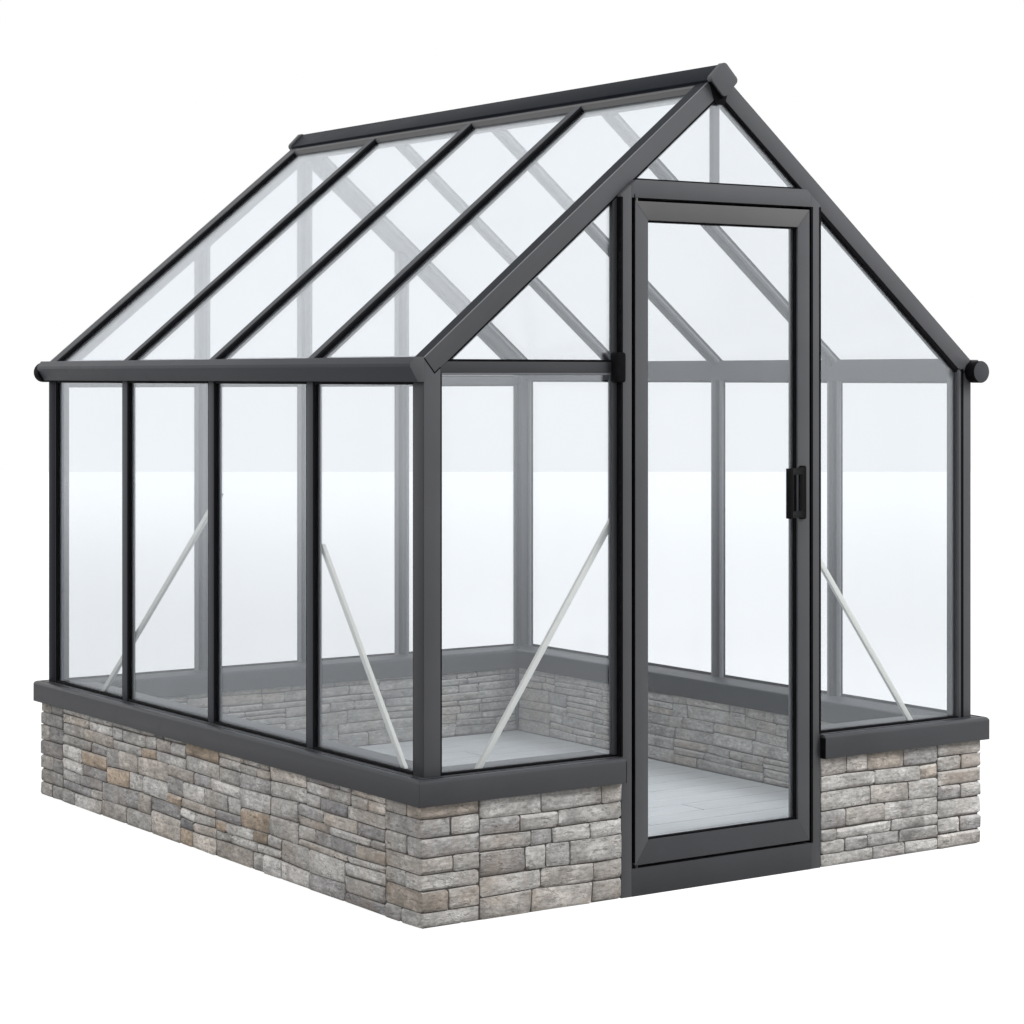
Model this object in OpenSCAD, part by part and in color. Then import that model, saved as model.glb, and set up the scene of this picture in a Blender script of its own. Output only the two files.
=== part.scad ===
// Glass greenhouse on a low stone wall, with a hinged glass door in the front gable.
// Sizes are in millimetres. X runs across the front, Y runs to the back and Z points up.

/* [Stone wall] */
// Width of the stone wall across the front
wall_w = 2120; // [1900:10:2600]
// Length of the stone wall from front to back
wall_len = 2550; // [2000:10:3600]
// Thickness of the stone wall
wall_t = 140; // [120:5:200]
// Height of the stone that shows below the cap
wall_h = 334; // [240:2:600]
// Height of the floor inside
floor_h = 80; // [50:1:120]

/* [Wall cap] */
// Overhang of the cap beyond the stone
cap_over = 20; // [12:1:36]
// Height of the cap's skirt
cap_skirt = 72; // [50:1:100]
// Sheet thickness of the cap
cap_sheet = 4; // [3:0.5:6]
// Rounding of the cap's upper edges
cap_r = 12; // [8:0.5:16]

/* [Frame] */
// Distance of the frame behind the cap's outer edge
frame_back = 42; // [36:1:60]
// Face width of the corner posts and gable rafters
post_w = 54; // [44:1:70]
// Height of the roof plane above the side walls' outer face
eave_h = 1546; // [1400:2:1900]
// Roof pitch in degrees
roof_pitch = 39.5; // [36:0.5:43]
// Glazed bays along each side
side_bays = 4; // [3:1:6]
// Width of a glazing bar's outer face
bar_face = 36; // [28:1:48]
// Thickness of a glazing bar's outer face
bar_cap = 12; // [8:1:16]
// Width of a glazing bar's inner leg
bar_leg = 16; // [10:1:22]
// Depth of a glazing bar's inner leg
bar_deep = 24; // [18:1:34]
// Glass thickness
glass_t = 4; // [3:0.5:6]
// Play between the glass and the faces that hold it
glass_seat = 0.2; // [0.1:0.05:0.4]
// Depth of the grooves that take the panes' edges
seat_deep = 8; // [5:0.5:12]
// Play at the panes' edges
edge_play = 0.8; // [0.4:0.1:0.9]

/* [Gables] */
// Height of the gable rails
rail_h = 31; // [24:1:40]
// Drop of the front rail's top below the eaves
front_drop = 8; // [4:1:40]
// Drop of the back rail's top below the eaves
back_drop = 52; // [20:1:90]
// Distance of the outer back mullions from the middle
mullion_x = 436; // [380:2:500]
// Width of the bar above the lintel
king_w = 24; // [18:1:32]

/* [Gutters and ridge] */
// Reach of the gutter's nose beyond the frame
gutter_out = 45; // [40:1:60]
// Height of the gutter below the eaves
gutter_h = 64; // [56:1:80]
// Reach of the gutter's underside beyond the frame
gutter_foot = 20; // [14:1:26]
// Rise of the gutter's lip above the eaves
lip_rise = 4; // [0:1:10]
// Distance of the lip behind the nose
lip_back = 15; // [11:1:20]
// Drop of the nose below the lip
nose_drop = 18; // [12:1:24]
// Height of the nose
nose_h = 9; // [5:1:14]
// Rounding of the gutter's edges
nose_r = 2.5; // [1:0.5:8]
// Wall thickness of the gutter
gutter_t = 4; // [3:0.5:6]
// Thickness of the gutter's floor
gutter_floor = 16; // [10:1:20]
// Radius of a gutter's round outlet
outlet_r = 35; // [28:0.5:40]
// Length of a gutter's round outlet
outlet_len = 40; // [24:1:50]
// Distance of the outlet's side behind the nose
outlet_in = 3; // [0:0.5:8]
// Side of the square ridge beam
ridge_w = 70; // [56:1:84]
// Rise of the ridge beam's edge above the roof planes
ridge_rise = 20; // [14:1:26]
// Width of the flange on each side of the ridge
flange_w = 16; // [12:1:40]
// Side of the ridge's end blocks
block_w = 78; // [64:1:92]
// Thickness of the ridge's end blocks
block_t = 22; // [8:1:28]
// Height of the end blocks' middle above the ridge beam's middle
block_lift = 2.5; // [0:0.5:6]
// Corner radius of the ridge's end blocks
block_r = 14; // [6:0.5:18]

/* [Braces] */
// Width of a brace
brace_w = 17; // [10:1:24]
// Thickness of a brace
brace_t = 12; // [3:0.5:16]
// Rise of the left side's front brace
brace_a_rise = 598; // [400:2:800]
// Run of the left side's front brace
brace_a_run = 460; // [300:2:520]
// Rise of the left side's rear brace
brace_b_rise = 720; // [400:2:800]
// Run of the left side's rear brace
brace_b_run = 868; // [600:2:960]
// Distance of the rear brace's top behind the middle of its bar
brace_b_set = 15; // [0:0.5:16]
// Rise of the brace left of the door
brace_c_rise = 688; // [400:2:800]
// Run of the brace left of the door
brace_c_run = 473; // [300:2:520]
// Rise of the brace right of the door
brace_d_rise = 614; // [400:2:800]
// Run of the brace right of the door
brace_d_run = 450; // [300:2:520]

/* [Door] */
// Width across the door posts
door_frame_w = 760; // [720:4:860]
// Face width of a door post
door_post = 38; // [34:1:46]
// Distance of the door frame behind the stone's face
door_back = 4; // [2:0.5:8]
// Height of the threshold
sill_h = 80; // [50:1:120]
// Height of the lintel
lintel_h = 52; // [40:1:70]
// Trim of the lintel's top corners under the rafters
lintel_trim = 14; // [8:1:24]
// Gap between the door and its frame
door_gap = 10; // [9:0.5:14]
// Thickness of the door
door_t = 40; // [34:1:50]
// Width of a door stile
stile_w = 46; // [38:1:60]
// Height of the door's top rail
top_rail_h = 54; // [44:1:70]
// Height of the door's bottom rail
bottom_rail_h = 68; // [54:1:90]
// Depth of the groove that holds the door's glass
groove_deep = 9; // [6:0.5:14]
// Radius of the hinge pins
pin_r = 5; // [4:0.25:6]
// Radial clearance of the hinge pins
pin_clear = 0.08; // [0.04:0.01:0.1]
// Depth of the hinge pins in the frame
pin_deep = 14; // [10:1:20]
// Distance of the hinge axis from the stile's edge and front
pin_in = 10; // [9:0.5:12]

/* [Handle] */
// Height of the handle's middle above the ground
handle_z = 1146; // [1000:2:1300]
// Height of the handle
handle_h = 150; // [110:2:200]
// Width of the handle's plate
plate_w = 25; // [20:1:32]
// Thickness of the handle's plate
plate_t = 8; // [5:1:12]
// Reach of the handle's plate beyond the grip at each end
plate_over = 6; // [2:1:14]
// Rounding of the handle's corners
handle_r = 7; // [3:0.5:9]
// Width and thickness of the handle's grip
grip_w = 20; // [14:1:24]
// Room behind the grip
grip_room = 20; // [18:1:32]
// Distance of the grip from the plate's middle, towards the glass
grip_shift = 80; // [40:1:96]
// Distance of the plate from the stile's middle, towards the glass
plate_shift = 9; // [0:1:12]

/* [Hidden] */
$fn = 64;
wx = wall_w / 2;
wy = wall_len / 2;
in_x = wx - wall_t;
in_y = wy - wall_t;
cap_x = wx + cap_over;
cap_y = wy + cap_over;
capin_x = in_x - cap_over;
capin_y = in_y - cap_over;
cap_top = wall_h + cap_skirt;
cap_w = cap_x - capin_x;
fx = cap_x - frame_back;
fy = cap_y - frame_back;
bay = 2 * fy / side_bays;
bar_depth = bar_cap + bar_deep;
glass_room = glass_t + 2 * glass_seat;
pane_in = seat_deep - edge_play;
inner_x = fx - post_w;
apex_z = eave_h + fx * tan(roof_pitch);
post_rise = post_w / cos(roof_pitch);
rafter_foot = [-fx + post_w * sin(roof_pitch), eave_h - post_w * cos(roof_pitch)];
eaves_z = eave_h - gutter_h;
under_glass = (bar_cap + glass_room) / cos(roof_pitch);
door_x = door_frame_w / 2;
door_in = door_x - door_post;
leaf_x = door_in - door_gap;
door_front = -wy + door_back;
door_rear = -fy + bar_depth;
leaf_rear = -wy + door_t;
lintel_top = under_z(door_in) + lintel_trim;
lintel_z = lintel_top - lintel_h;
leaf_z0 = sill_h + door_gap;
leaf_z1 = lintel_z - door_gap;
hinge_x = -leaf_x + pin_in;
hinge_y = -wy + pin_in;
rail_top = eave_h - front_drop;
back_top = eave_h - back_drop;
ridge_mid = apex_z + ridge_rise - ridge_w * sqrt(0.5);
ridge_half = ridge_w * sqrt(0.5);
flange_x = ridge_half + flange_w * cos(roof_pitch);
pin_root = 2;
latch_x = leaf_x - stile_w / 2 - plate_shift;
leaf_glass_y = -wy + (door_t - glass_room) / 2;
frame_grey = [0.22, 0.24, 0.26];
glass_tint = [0.85, 0.92, 0.95, 0.35];

// Height of the roof plane, and of the rafters' undersides, at a place across the front
function roof_z(x) = eave_h + (fx - abs(x)) * tan(roof_pitch);
function under_z(x) = roof_z(x) - post_rise;
// Place across the front where the rafters' undersides are at a height
function under_x(z) = fx - (z + post_rise - eave_h) / tan(roof_pitch);
// Place of a glazing bar along the side, and of the panes' edges in a bay
function bar_y(i) = -fy + i * bay;
function pane_y0(i) = i == 0 ? -fy + post_w - pane_in : bar_y(i) + bar_leg / 2 + edge_play;
function pane_y1(i) = i == side_bays - 1 ? fy - post_w + pane_in
    : bar_y(i + 1) - bar_leg / 2 - edge_play;
// Outline of a gable's glazed field, with its edges let in by a depth
function gable_field(e) = let(x = inner_x + e, up = e / cos(roof_pitch))
    [[-x, cap_top], [x, cap_top], [x, under_z(x) + up], [0, under_z(0) + up], [-x, under_z(x) + up]];

// A flat outline drawn across the front and up, given thickness along Y
module across(y0, y1) {
    translate([0, y1, 0]) rotate([90, 0, 0]) linear_extrude(height = y1 - y0) children();
}

// A flat outline drawn along Y and up, given thickness along X
module along(x0, x1) {
    translate([x0, 0, 0]) rotate([90, 0, 90]) linear_extrude(height = x1 - x0) children();
}

// A box between two corners
module block(a, b) {
    translate(a) cube(b - a);
}

// A layer of the left roof slope between two depths below the roof plane
module slope_layer(x0, x1, d0, d1, y0, y1) {
    k = 1 / cos(roof_pitch);
    across(y0, y1) polygon([[x0, roof_z(x0) - d1 * k], [x1, roof_z(x1) - d1 * k],
        [x1, roof_z(x1) - d0 * k], [x0, roof_z(x0) - d0 * k]]);
}

// The square ridge beam standing on its edge
module ridge_prism(y0, y1, play = 0) {
    across(y0, y1) translate([0, ridge_mid]) rotate(45) square(ridge_w + 2 * play, center = true);
}

// A flat box outline between two corners
module field(a, b) {
    translate(a) square(b - a);
}

// Room for the glass of the front gable, of the left side and of the left roof slope
module gable_room() {
    across(-fy + bar_cap, -fy + bar_cap + glass_room) polygon(gable_field(seat_deep));
}

module side_room() {
    block([-fx + bar_cap, -fy + post_w - seat_deep, cap_top],
        [-fx + bar_cap + glass_room, fy - post_w + seat_deep, eaves_z + seat_deep]);
}

module roof_room() {
    slope_layer(-fx - bar_cap, 0, bar_cap, bar_cap + glass_room,
        -fy + post_w - seat_deep, fy - post_w + seat_deep);
}

module mirror_x() {
    mirror([1, 0, 0]) children();
}

module mirror_y() {
    mirror([0, 1, 0]) children();
}

// Stone wall
module wall_left() {
    color([0.55, 0.54, 0.52]) block([-wx, -wy, 0], [-in_x, wy, cap_top - cap_sheet]);
}

module wall_right() {
    color([0.55, 0.54, 0.52]) block([in_x, -wy, 0], [wx, wy, cap_top - cap_sheet]);
}

module wall_back() {
    color([0.55, 0.54, 0.52]) block([-in_x, in_y, 0], [in_x, wy, cap_top - cap_sheet]);
}

module wall_front_left() {
    color([0.55, 0.54, 0.52]) block([-in_x, -wy, 0], [-door_x, -in_y, cap_top - cap_sheet]);
}

module wall_front_right() {
    color([0.55, 0.54, 0.52]) block([door_x, -wy, 0], [in_x, -in_y, cap_top - cap_sheet]);
}

module floor_deck() {
    color([0.75, 0.76, 0.76]) block([-in_x, -in_y, 0], [in_x, in_y, floor_h]);
}

// Outline across a cap, from its outer edge inwards: a box with round upper corners
module cap_outline(w, h, r) {
    square([w, h - r]);
    translate([r, 0]) square([w - 2 * r, h]);
    translate([r, h - r]) circle(r);
    translate([w - r, h - r]) circle(r);
}

// The folded sheet seen from its end, with a skirt on both sides
module cap_fold() {
    s = cap_sheet;
    difference() {
        cap_outline(cap_w, cap_skirt, cap_r);
        translate([s, -s]) cap_outline(cap_w - 2 * s, cap_skirt, cap_r - s);
    }
}

// Wall cap along a side, mitred at both ends
module cap_side(x_out, x_in, y_out, y_in) {
    intersection() {
        translate([-x_out, 0, wall_h]) across(-y_out, y_out) cap_fold();
        linear_extrude(height = cap_top)
            polygon([[-x_out, -y_out], [-x_in, -y_in], [-x_in, y_in], [-x_out, y_out]]);
    }
}

// The front cap left of the door, mitred at the corner and closed beside the stone at the doorway
module cap_front() {
    s = cap_sheet;
    intersection() {
        translate([0, -cap_y, wall_h]) along(-cap_x, -door_x) cap_fold();
        linear_extrude(height = cap_top)
            polygon([[-cap_x, -cap_y], [-door_x, -cap_y], [-door_x, -capin_y], [-capin_x, -capin_y]]);
    }
    difference() {
        translate([0, -cap_y, wall_h]) along(-door_x - s, -door_x) cap_outline(cap_w, cap_skirt, cap_r);
        block([-door_x - 2 * s, -wy, 0], [-door_x + s, -in_y, cap_top - s]);
    }
}

module cap_left() {
    color(frame_grey) cap_side(cap_x, capin_x, cap_y, capin_y);
}

module cap_right() {
    color(frame_grey) mirror_x() cap_side(cap_x, capin_x, cap_y, capin_y);
}

module cap_back() {
    color(frame_grey) rotate([0, 0, -90]) cap_side(cap_y, capin_y, cap_x, capin_x);
}

module cap_front_left() {
    color(frame_grey) cap_front();
}

module cap_front_right() {
    color(frame_grey) mirror_x() cap_front();
}

// Corner post, cut at the top to take the square-cut foot of the rafter
module corner_post() {
    difference() {
        across(-fy, -fy + post_w) polygon([[-fx, cap_top], [-inner_x, cap_top],
            [-inner_x, under_z(inner_x)], rafter_foot, [-fx, eave_h]]);
        gable_room();
        side_room();
        roof_room();
    }
}

module corner_posts_front() {
    color(frame_grey) {
        corner_post();
        mirror_x() corner_post();
    }
}

module corner_posts_back() {
    color(frame_grey) mirror_y() {
        corner_post();
        mirror_x() corner_post();
    }
}

// Side bars: an outer face with a narrower leg inside the glass
module side_bars() {
    for (i = [1 : side_bays - 1]) {
        y = bar_y(i);
        block([-fx, y - bar_face / 2, cap_top], [-fx + bar_cap, y + bar_face / 2, eaves_z]);
        block([-fx + bar_cap, y - bar_leg / 2, cap_top], [-fx + bar_depth, y + bar_leg / 2, eaves_z]);
    }
}

module side_bars_left() {
    color(frame_grey) side_bars();
}

module side_bars_right() {
    color(frame_grey) mirror_x() side_bars();
}

// Eaves beam, with a groove below for the side glass, and its gutter: an open channel with a rounded nose
module eaves_beam() {
    x_in = -fx + bar_depth;
    difference() {
        across(-fy + post_w, fy - post_w) polygon([[-fx, eaves_z], [x_in, eaves_z],
            [x_in, roof_z(x_in) - under_glass], [-fx, eave_h - under_glass]]);
        side_room();
    }
}

module gutter_outline() {
    nose_x = -fx - gutter_out;
    nose_z = eave_h + lip_rise - nose_drop;
    intersection() {
        offset(r = nose_r, $fn = 32) offset(delta = -nose_r) polygon([[0, eaves_z],
            [-fx - gutter_foot, eaves_z], [nose_x, nose_z - nose_h], [nose_x, nose_z],
            [nose_x + lip_back, eave_h + lip_rise], [0, eave_h + lip_rise]]);
        field([nose_x - 1, eaves_z - 1], [-fx, eave_h + lip_rise + 1]);
    }
}

module eaves_gutter() {
    lip = -fx - gutter_out + lip_back + gutter_t;
    open_z = eave_h + lip_rise + 1;
    back_z = eave_h - under_glass - gutter_t;
    eaves_beam();
    difference() {
        across(-fy, fy) gutter_outline();
        block([lip, -fy + gutter_t, eaves_z + gutter_floor], [-fx - gutter_t, fy - gutter_t, open_z]);
        block([lip, -fy + gutter_t, back_z], [-fx + 1, fy - gutter_t, open_z]);
    }
}

module eaves_gutter_left() {
    color(frame_grey) eaves_gutter();
}

module eaves_gutter_right() {
    color(frame_grey) mirror_x() eaves_gutter();
}

// Round outlets: the right gutter's at the front, the left gutter's at the back
module gutter_outlet() {
    translate([fx + gutter_out - outlet_r - outlet_in, -fy, eave_h - outlet_r])
        rotate([90, 0, 0]) cylinder(r = outlet_r, h = outlet_len);
}

module gutter_outlets() {
    color(frame_grey) {
        gutter_outlet();
        rotate([0, 0, 180]) gutter_outlet();
    }
}

// Ridge beam with a flange over the glass on each side
module ridge_flange() {
    slope_layer(-flange_x, -ridge_half / 3, 0, bar_cap, -fy + post_w, fy - post_w);
}

module ridge_beam() {
    color(frame_grey) {
        ridge_prism(-fy, fy);
        ridge_flange();
        mirror_x() ridge_flange();
    }
}

module ridge_end_block() {
    across(-fy - block_t, -fy) translate([0, ridge_mid + block_lift]) rotate(45)
        offset(r = block_r, $fn = 32) square(block_w - 2 * block_r, center = true);
}

module ridge_end_blocks() {
    color(frame_grey) {
        ridge_end_block();
        mirror_y() ridge_end_block();
    }
}

// Gable rafter, cut square at the foot and against the ridge beam at the top
module gable_rafter() {
    difference() {
        across(-fy, -fy + post_w) polygon([[-fx, eave_h], rafter_foot, [0, under_z(0)], [0, apex_z]]);
        gable_room();
        roof_room();
    }
}

module gable_rafters() {
    difference() {
        union() {
            gable_rafter();
            mirror_x() gable_rafter();
        }
        ridge_prism(-fy - 1, -fy + post_w + 1);
    }
}

module rafters_front() {
    color(frame_grey) gable_rafters();
}

module rafters_back() {
    color(frame_grey) mirror_y() gable_rafters();
}

// Roof bars: the outer face runs over the gutter, the leg butts on the eaves beam
module roof_bars() {
    difference() {
        for (i = [1 : side_bays - 1]) {
            y = bar_y(i);
            slope_layer(-fx - bar_cap, -flange_x, 0, bar_cap, y - bar_face / 2, y + bar_face / 2);
            slope_layer(-fx + bar_depth, -flange_x, bar_cap / 2, bar_depth, y - bar_leg / 2, y + bar_leg / 2);
            slope_layer(-flange_x - bar_cap, 0, bar_cap, bar_depth, y - bar_leg / 2, y + bar_leg / 2);
        }
        ridge_prism(-fy, fy);
    }
}

module roof_bars_left() {
    color(frame_grey) roof_bars();
}

module roof_bars_right() {
    color(frame_grey) mirror_x() roof_bars();
}

// Door frame
module door_post_left() {
    difference() {
        across(door_front, door_rear) polygon([[-door_x, 0], [-door_in, 0], [-door_in, under_z(door_in)],
            [-door_x, under_z(door_x)]]);
        block([-door_x - 1, -fy + bar_cap, cap_top],
            [-door_x + seat_deep, -fy + bar_cap + glass_room, apex_z]);
    }
}

module door_posts() {
    color(frame_grey) {
        door_post_left();
        mirror_x() door_post_left();
    }
}

module door_lintel() {
    x_top = under_x(lintel_top);
    color(frame_grey) difference() {
        across(door_front, door_rear) polygon([[-door_in, lintel_z], [door_in, lintel_z],
            [door_in, under_z(door_in)], [x_top, lintel_top], [-x_top, lintel_top],
            [-door_in, under_z(door_in)]]);
        block([-door_in, -fy + bar_cap, lintel_top - seat_deep],
            [door_in, -fy + bar_cap + glass_room, apex_z]);
        translate([hinge_x, hinge_y, lintel_z - 1]) cylinder(r = pin_r + pin_clear, h = pin_deep + 2);
    }
}

module door_threshold() {
    color(frame_grey) difference() {
        union() {
            block([-door_in, door_front, 0], [door_in, -in_y, sill_h]);
            block([-door_x, door_rear, 0], [door_x, -in_y, sill_h]);
        }
        translate([hinge_x, hinge_y, sill_h - pin_deep - 1])
            cylinder(r = pin_r + pin_clear, h = pin_deep + 2);
    }
}

// Rails and mullions of the gables
module rail_grooves(x0, x1, z) {
    y = -fy + bar_cap;
    block([x0 - 1, y, z - rail_h - 1], [x1 + 1, y + glass_room, z - rail_h + seat_deep]);
    block([x0 - 1, y, z - seat_deep], [x1 + 1, y + glass_room, z + 1]);
}

module front_rail() {
    color(frame_grey) difference() {
        across(-fy, -fy + bar_depth) intersection() {
            field([-inner_x, rail_top - rail_h], [-door_x, rail_top]);
            polygon(gable_field(0));
        }
        rail_grooves(-inner_x, -door_x, rail_top);
    }
}

module king_bar() {
    color(frame_grey) difference() {
        across(-fy + bar_cap + glass_room, -fy + bar_depth) intersection() {
            field([-king_w / 2, lintel_top], [king_w / 2, apex_z]);
            polygon(gable_field(0));
        }
        ridge_prism(-fy, fy);
    }
}

// Upright bar of the back gable, up to the rafters
module mullion(x, w, y0, y1) {
    across(y0, y1) intersection() {
        field([x - w / 2, cap_top], [x + w / 2, apex_z]);
        polygon(gable_field(0));
    }
}

module back_mullions() {
    color(frame_grey) difference() {
        for (x = [-mullion_x, 0, mullion_x]) {
            mullion(x, bar_face, fy - bar_cap, fy);
            mullion(x, bar_leg, fy - bar_depth, fy - bar_cap);
        }
        ridge_prism(-fy, fy);
    }
}

module back_rail() {
    half = bar_face / 2;
    color(frame_grey) mirror_y() difference() {
        for (m = [0, 1]) mirror([m, 0, 0]) {
            block([-inner_x, -fy, back_top - rail_h], [-mullion_x - half, -fy + bar_depth, back_top]);
            block([-mullion_x + half, -fy, back_top - rail_h], [-half, -fy + bar_depth, back_top]);
        }
        rail_grooves(-inner_x, inner_x, back_top);
    }
}

// Braces: slim bars from the sill to a bar or door post, fixed inside
function brace(top, run, rise) = let(h = brace_w / 2 / sin(atan2(rise, abs(run))), foot = top + run)
    [[foot - h, cap_top], [foot + h, cap_top], [top + h, cap_top + rise], [top - h, cap_top + rise]];

module braces_left() {
    x = -fx + bar_depth;
    color([0.78, 0.78, 0.74]) {
        along(x, x + brace_t) polygon(brace(bar_y(1), -brace_a_run, brace_a_rise));
        along(x, x + brace_t) polygon(brace(bar_y(2) + brace_b_set, brace_b_run, brace_b_rise));
    }
}

module braces_front() {
    x = door_x - door_post / 2;
    color([0.78, 0.78, 0.74]) {
        across(door_rear, door_rear + brace_t) polygon(brace(-x, -brace_c_run, brace_c_rise));
        across(door_rear, door_rear + brace_t) polygon(brace(x, brace_d_run, brace_d_rise));
    }
}

// Glass of the side walls: a pane in each bay, behind the bars' outer faces
module side_glass() {
    x = -fx + bar_cap + glass_seat;
    for (i = [0 : side_bays - 1])
        block([x, pane_y0(i), cap_top], [x + glass_t, pane_y1(i), eaves_z + pane_in]);
}

module glass_left() {
    color(glass_tint) side_glass();
}

module glass_right() {
    color(glass_tint) mirror_x() side_glass();
}

// Glass of the roof: panes that reach over the gutter
module roof_glass() {
    d = bar_cap + glass_seat;
    difference() {
        for (i = [0 : side_bays - 1])
            slope_layer(-fx - bar_cap, 0, d, d + glass_t, pane_y0(i), pane_y1(i));
        ridge_prism(-fy, fy, glass_seat);
    }
}

module glass_roof_left() {
    color(glass_tint) roof_glass();
}

module glass_roof_right() {
    color(glass_tint) mirror_x() roof_glass();
}

// A pane of the front gable, cut to the glazed field
module gable_pane(a, b) {
    y = -fy + bar_cap + glass_seat;
    difference() {
        across(y, y + glass_t) intersection() {
            field(a, b);
            polygon(gable_field(pane_in));
        }
        ridge_prism(-fy, fy, glass_seat);
    }
}

// Glass of the front gable: two panes on the left, one on the right and one above the lintel
module glass_front() {
    x_in = door_x - pane_in;
    x_out = inner_x + pane_in;
    color(glass_tint) {
        gable_pane([-x_out, cap_top], [-x_in, rail_top - rail_h + pane_in]);
        gable_pane([-x_out, rail_top - pane_in], [-x_in, apex_z]);
        gable_pane([x_in, cap_top], [x_out, apex_z]);
        gable_pane([-door_x, lintel_top - pane_in], [door_x, apex_z]);
    }
}

// Glass of the back gable: a pane below and above the rail in each bay
module glass_back() {
    leg = bar_leg / 2 + edge_play;
    x_out = inner_x + pane_in;
    color(glass_tint) mirror_y() {
        for (z = [[cap_top, back_top - rail_h + pane_in], [back_top - pane_in, apex_z]], m = [0, 1])
            mirror([m, 0, 0]) {
                gable_pane([-x_out, z[0]], [-mullion_x - leg, z[1]]);
                gable_pane([-mullion_x + leg, z[0]], [-leg, z[1]]);
            }
    }
}

// Door leaf: mitred stiles and rails with a groove all round for the glass
module leaf_groove() {
    block([-leaf_x + stile_w - groove_deep, leaf_glass_y, leaf_z0 + bottom_rail_h - groove_deep],
        [leaf_x - stile_w + groove_deep, leaf_glass_y + glass_room, leaf_z1 - top_rail_h + groove_deep]);
}

module stile_outline() {
    polygon([[-leaf_x, leaf_z0], [-leaf_x + stile_w, leaf_z0 + bottom_rail_h],
        [-leaf_x + stile_w, leaf_z1 - top_rail_h], [-leaf_x, leaf_z1]]);
}

// Hinge pin, rooted in the end of a rail
module hinge_pin(z0, z1) {
    translate([hinge_x, hinge_y, z0]) cylinder(r = pin_r, h = z1 - z0);
}

module door_stile_hinge() {
    color(frame_grey) difference() {
        across(-wy, leaf_rear) stile_outline();
        leaf_groove();
    }
}

module door_stile_latch() {
    color(frame_grey) difference() {
        across(-wy, leaf_rear) mirror([1, 0]) stile_outline();
        leaf_groove();
    }
}

module door_top_rail() {
    color(frame_grey) {
        difference() {
            across(-wy, leaf_rear) polygon([[-leaf_x, leaf_z1], [-leaf_x + stile_w, leaf_z1 - top_rail_h],
                [leaf_x - stile_w, leaf_z1 - top_rail_h], [leaf_x, leaf_z1]]);
            leaf_groove();
        }
        hinge_pin(leaf_z1 - pin_root, lintel_z + pin_deep);
    }
}

module door_bottom_rail() {
    color(frame_grey) {
        difference() {
            across(-wy, leaf_rear) polygon([[-leaf_x, leaf_z0], [leaf_x, leaf_z0],
                [leaf_x - stile_w, leaf_z0 + bottom_rail_h], [-leaf_x + stile_w, leaf_z0 + bottom_rail_h]]);
            leaf_groove();
        }
        hinge_pin(sill_h - pin_deep, leaf_z0 + pin_root);
    }
}

module door_glass() {
    e = groove_deep - edge_play;
    y = leaf_glass_y + glass_seat;
    color(glass_tint) block([-leaf_x + stile_w - e, y, leaf_z0 + bottom_rail_h - e],
        [leaf_x - stile_w + e, y + glass_t, leaf_z1 - top_rail_h + e]);
}

// Pull handle: a plate with rounded corners and an upright grip on two arms cranked towards the glass
module handle_arm() {
    half = grip_w / 2;
    root = -wy - plate_t / 2;
    grip_y = -wy - plate_t - grip_room - half;
    linear_extrude(height = grip_w) polygon([[latch_x - half, root], [latch_x - grip_shift - half, grip_y],
        [latch_x - grip_shift + half, grip_y], [latch_x + half, root]]);
}

module handle_grip() {
    translate([latch_x - grip_shift, -wy - plate_t - grip_room - grip_w / 2])
        offset(r = handle_r, $fn = 32) square(grip_w - 2 * handle_r, center = true);
}

module door_handle() {
    z0 = handle_z - handle_h / 2;
    color([0.06, 0.06, 0.07]) {
        across(-wy - plate_t, -wy) translate([latch_x, handle_z]) offset(r = handle_r, $fn = 32)
            square([plate_w - 2 * handle_r, handle_h + 2 * plate_over - 2 * handle_r], center = true);
        translate([0, 0, z0]) linear_extrude(height = handle_h) handle_grip();
        translate([0, 0, z0]) handle_arm();
        translate([0, 0, z0 + handle_h - grip_w]) handle_arm();
    }
}

wall_left();
wall_right();
wall_back();
wall_front_left();
wall_front_right();
floor_deck();
cap_left();
cap_right();
cap_back();
cap_front_left();
cap_front_right();
corner_posts_front();
corner_posts_back();
side_bars_left();
side_bars_right();
eaves_gutter_left();
eaves_gutter_right();
gutter_outlets();
ridge_beam();
ridge_end_blocks();
rafters_front();
rafters_back();
roof_bars_left();
roof_bars_right();
door_posts();
door_lintel();
door_threshold();
front_rail();
king_bar();
back_mullions();
back_rail();
braces_left();
braces_front();
glass_left();
glass_right();
glass_roof_left();
glass_roof_right();
glass_front();
glass_back();
door_stile_hinge();
door_stile_latch();
door_top_rail();
door_bottom_rail();
door_glass();
door_handle();
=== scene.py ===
"""Looks of the glass greenhouse: stonework, glazing seals, boards and finishes around its frame."""
import math
import random

import bpy
import numpy as np
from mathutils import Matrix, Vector


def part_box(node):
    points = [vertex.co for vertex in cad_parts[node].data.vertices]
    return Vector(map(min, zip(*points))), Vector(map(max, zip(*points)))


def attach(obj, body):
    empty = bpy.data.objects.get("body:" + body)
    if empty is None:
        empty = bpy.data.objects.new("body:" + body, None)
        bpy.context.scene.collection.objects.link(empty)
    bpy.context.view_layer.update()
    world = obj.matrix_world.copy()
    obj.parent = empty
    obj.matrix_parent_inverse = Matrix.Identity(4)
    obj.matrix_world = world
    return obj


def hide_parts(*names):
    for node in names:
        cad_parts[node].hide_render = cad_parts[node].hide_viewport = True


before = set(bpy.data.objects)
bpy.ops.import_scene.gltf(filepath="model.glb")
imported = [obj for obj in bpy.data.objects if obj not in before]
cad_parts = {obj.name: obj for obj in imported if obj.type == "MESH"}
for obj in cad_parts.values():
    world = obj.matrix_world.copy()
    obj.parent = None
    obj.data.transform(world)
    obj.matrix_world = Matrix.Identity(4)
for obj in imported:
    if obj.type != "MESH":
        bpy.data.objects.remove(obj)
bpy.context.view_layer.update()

# Sizes in metres, taken from the frame where a node gives them
UP = Vector((0, 0, 1))
POST_LOW, POST_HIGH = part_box("corner_posts_front")
WALL_LOW, WALL_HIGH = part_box("wall_left")
DECK_LOW, DECK_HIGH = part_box("floor_deck")
CAP_LOW, CAP_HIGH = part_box("cap_left")
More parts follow.
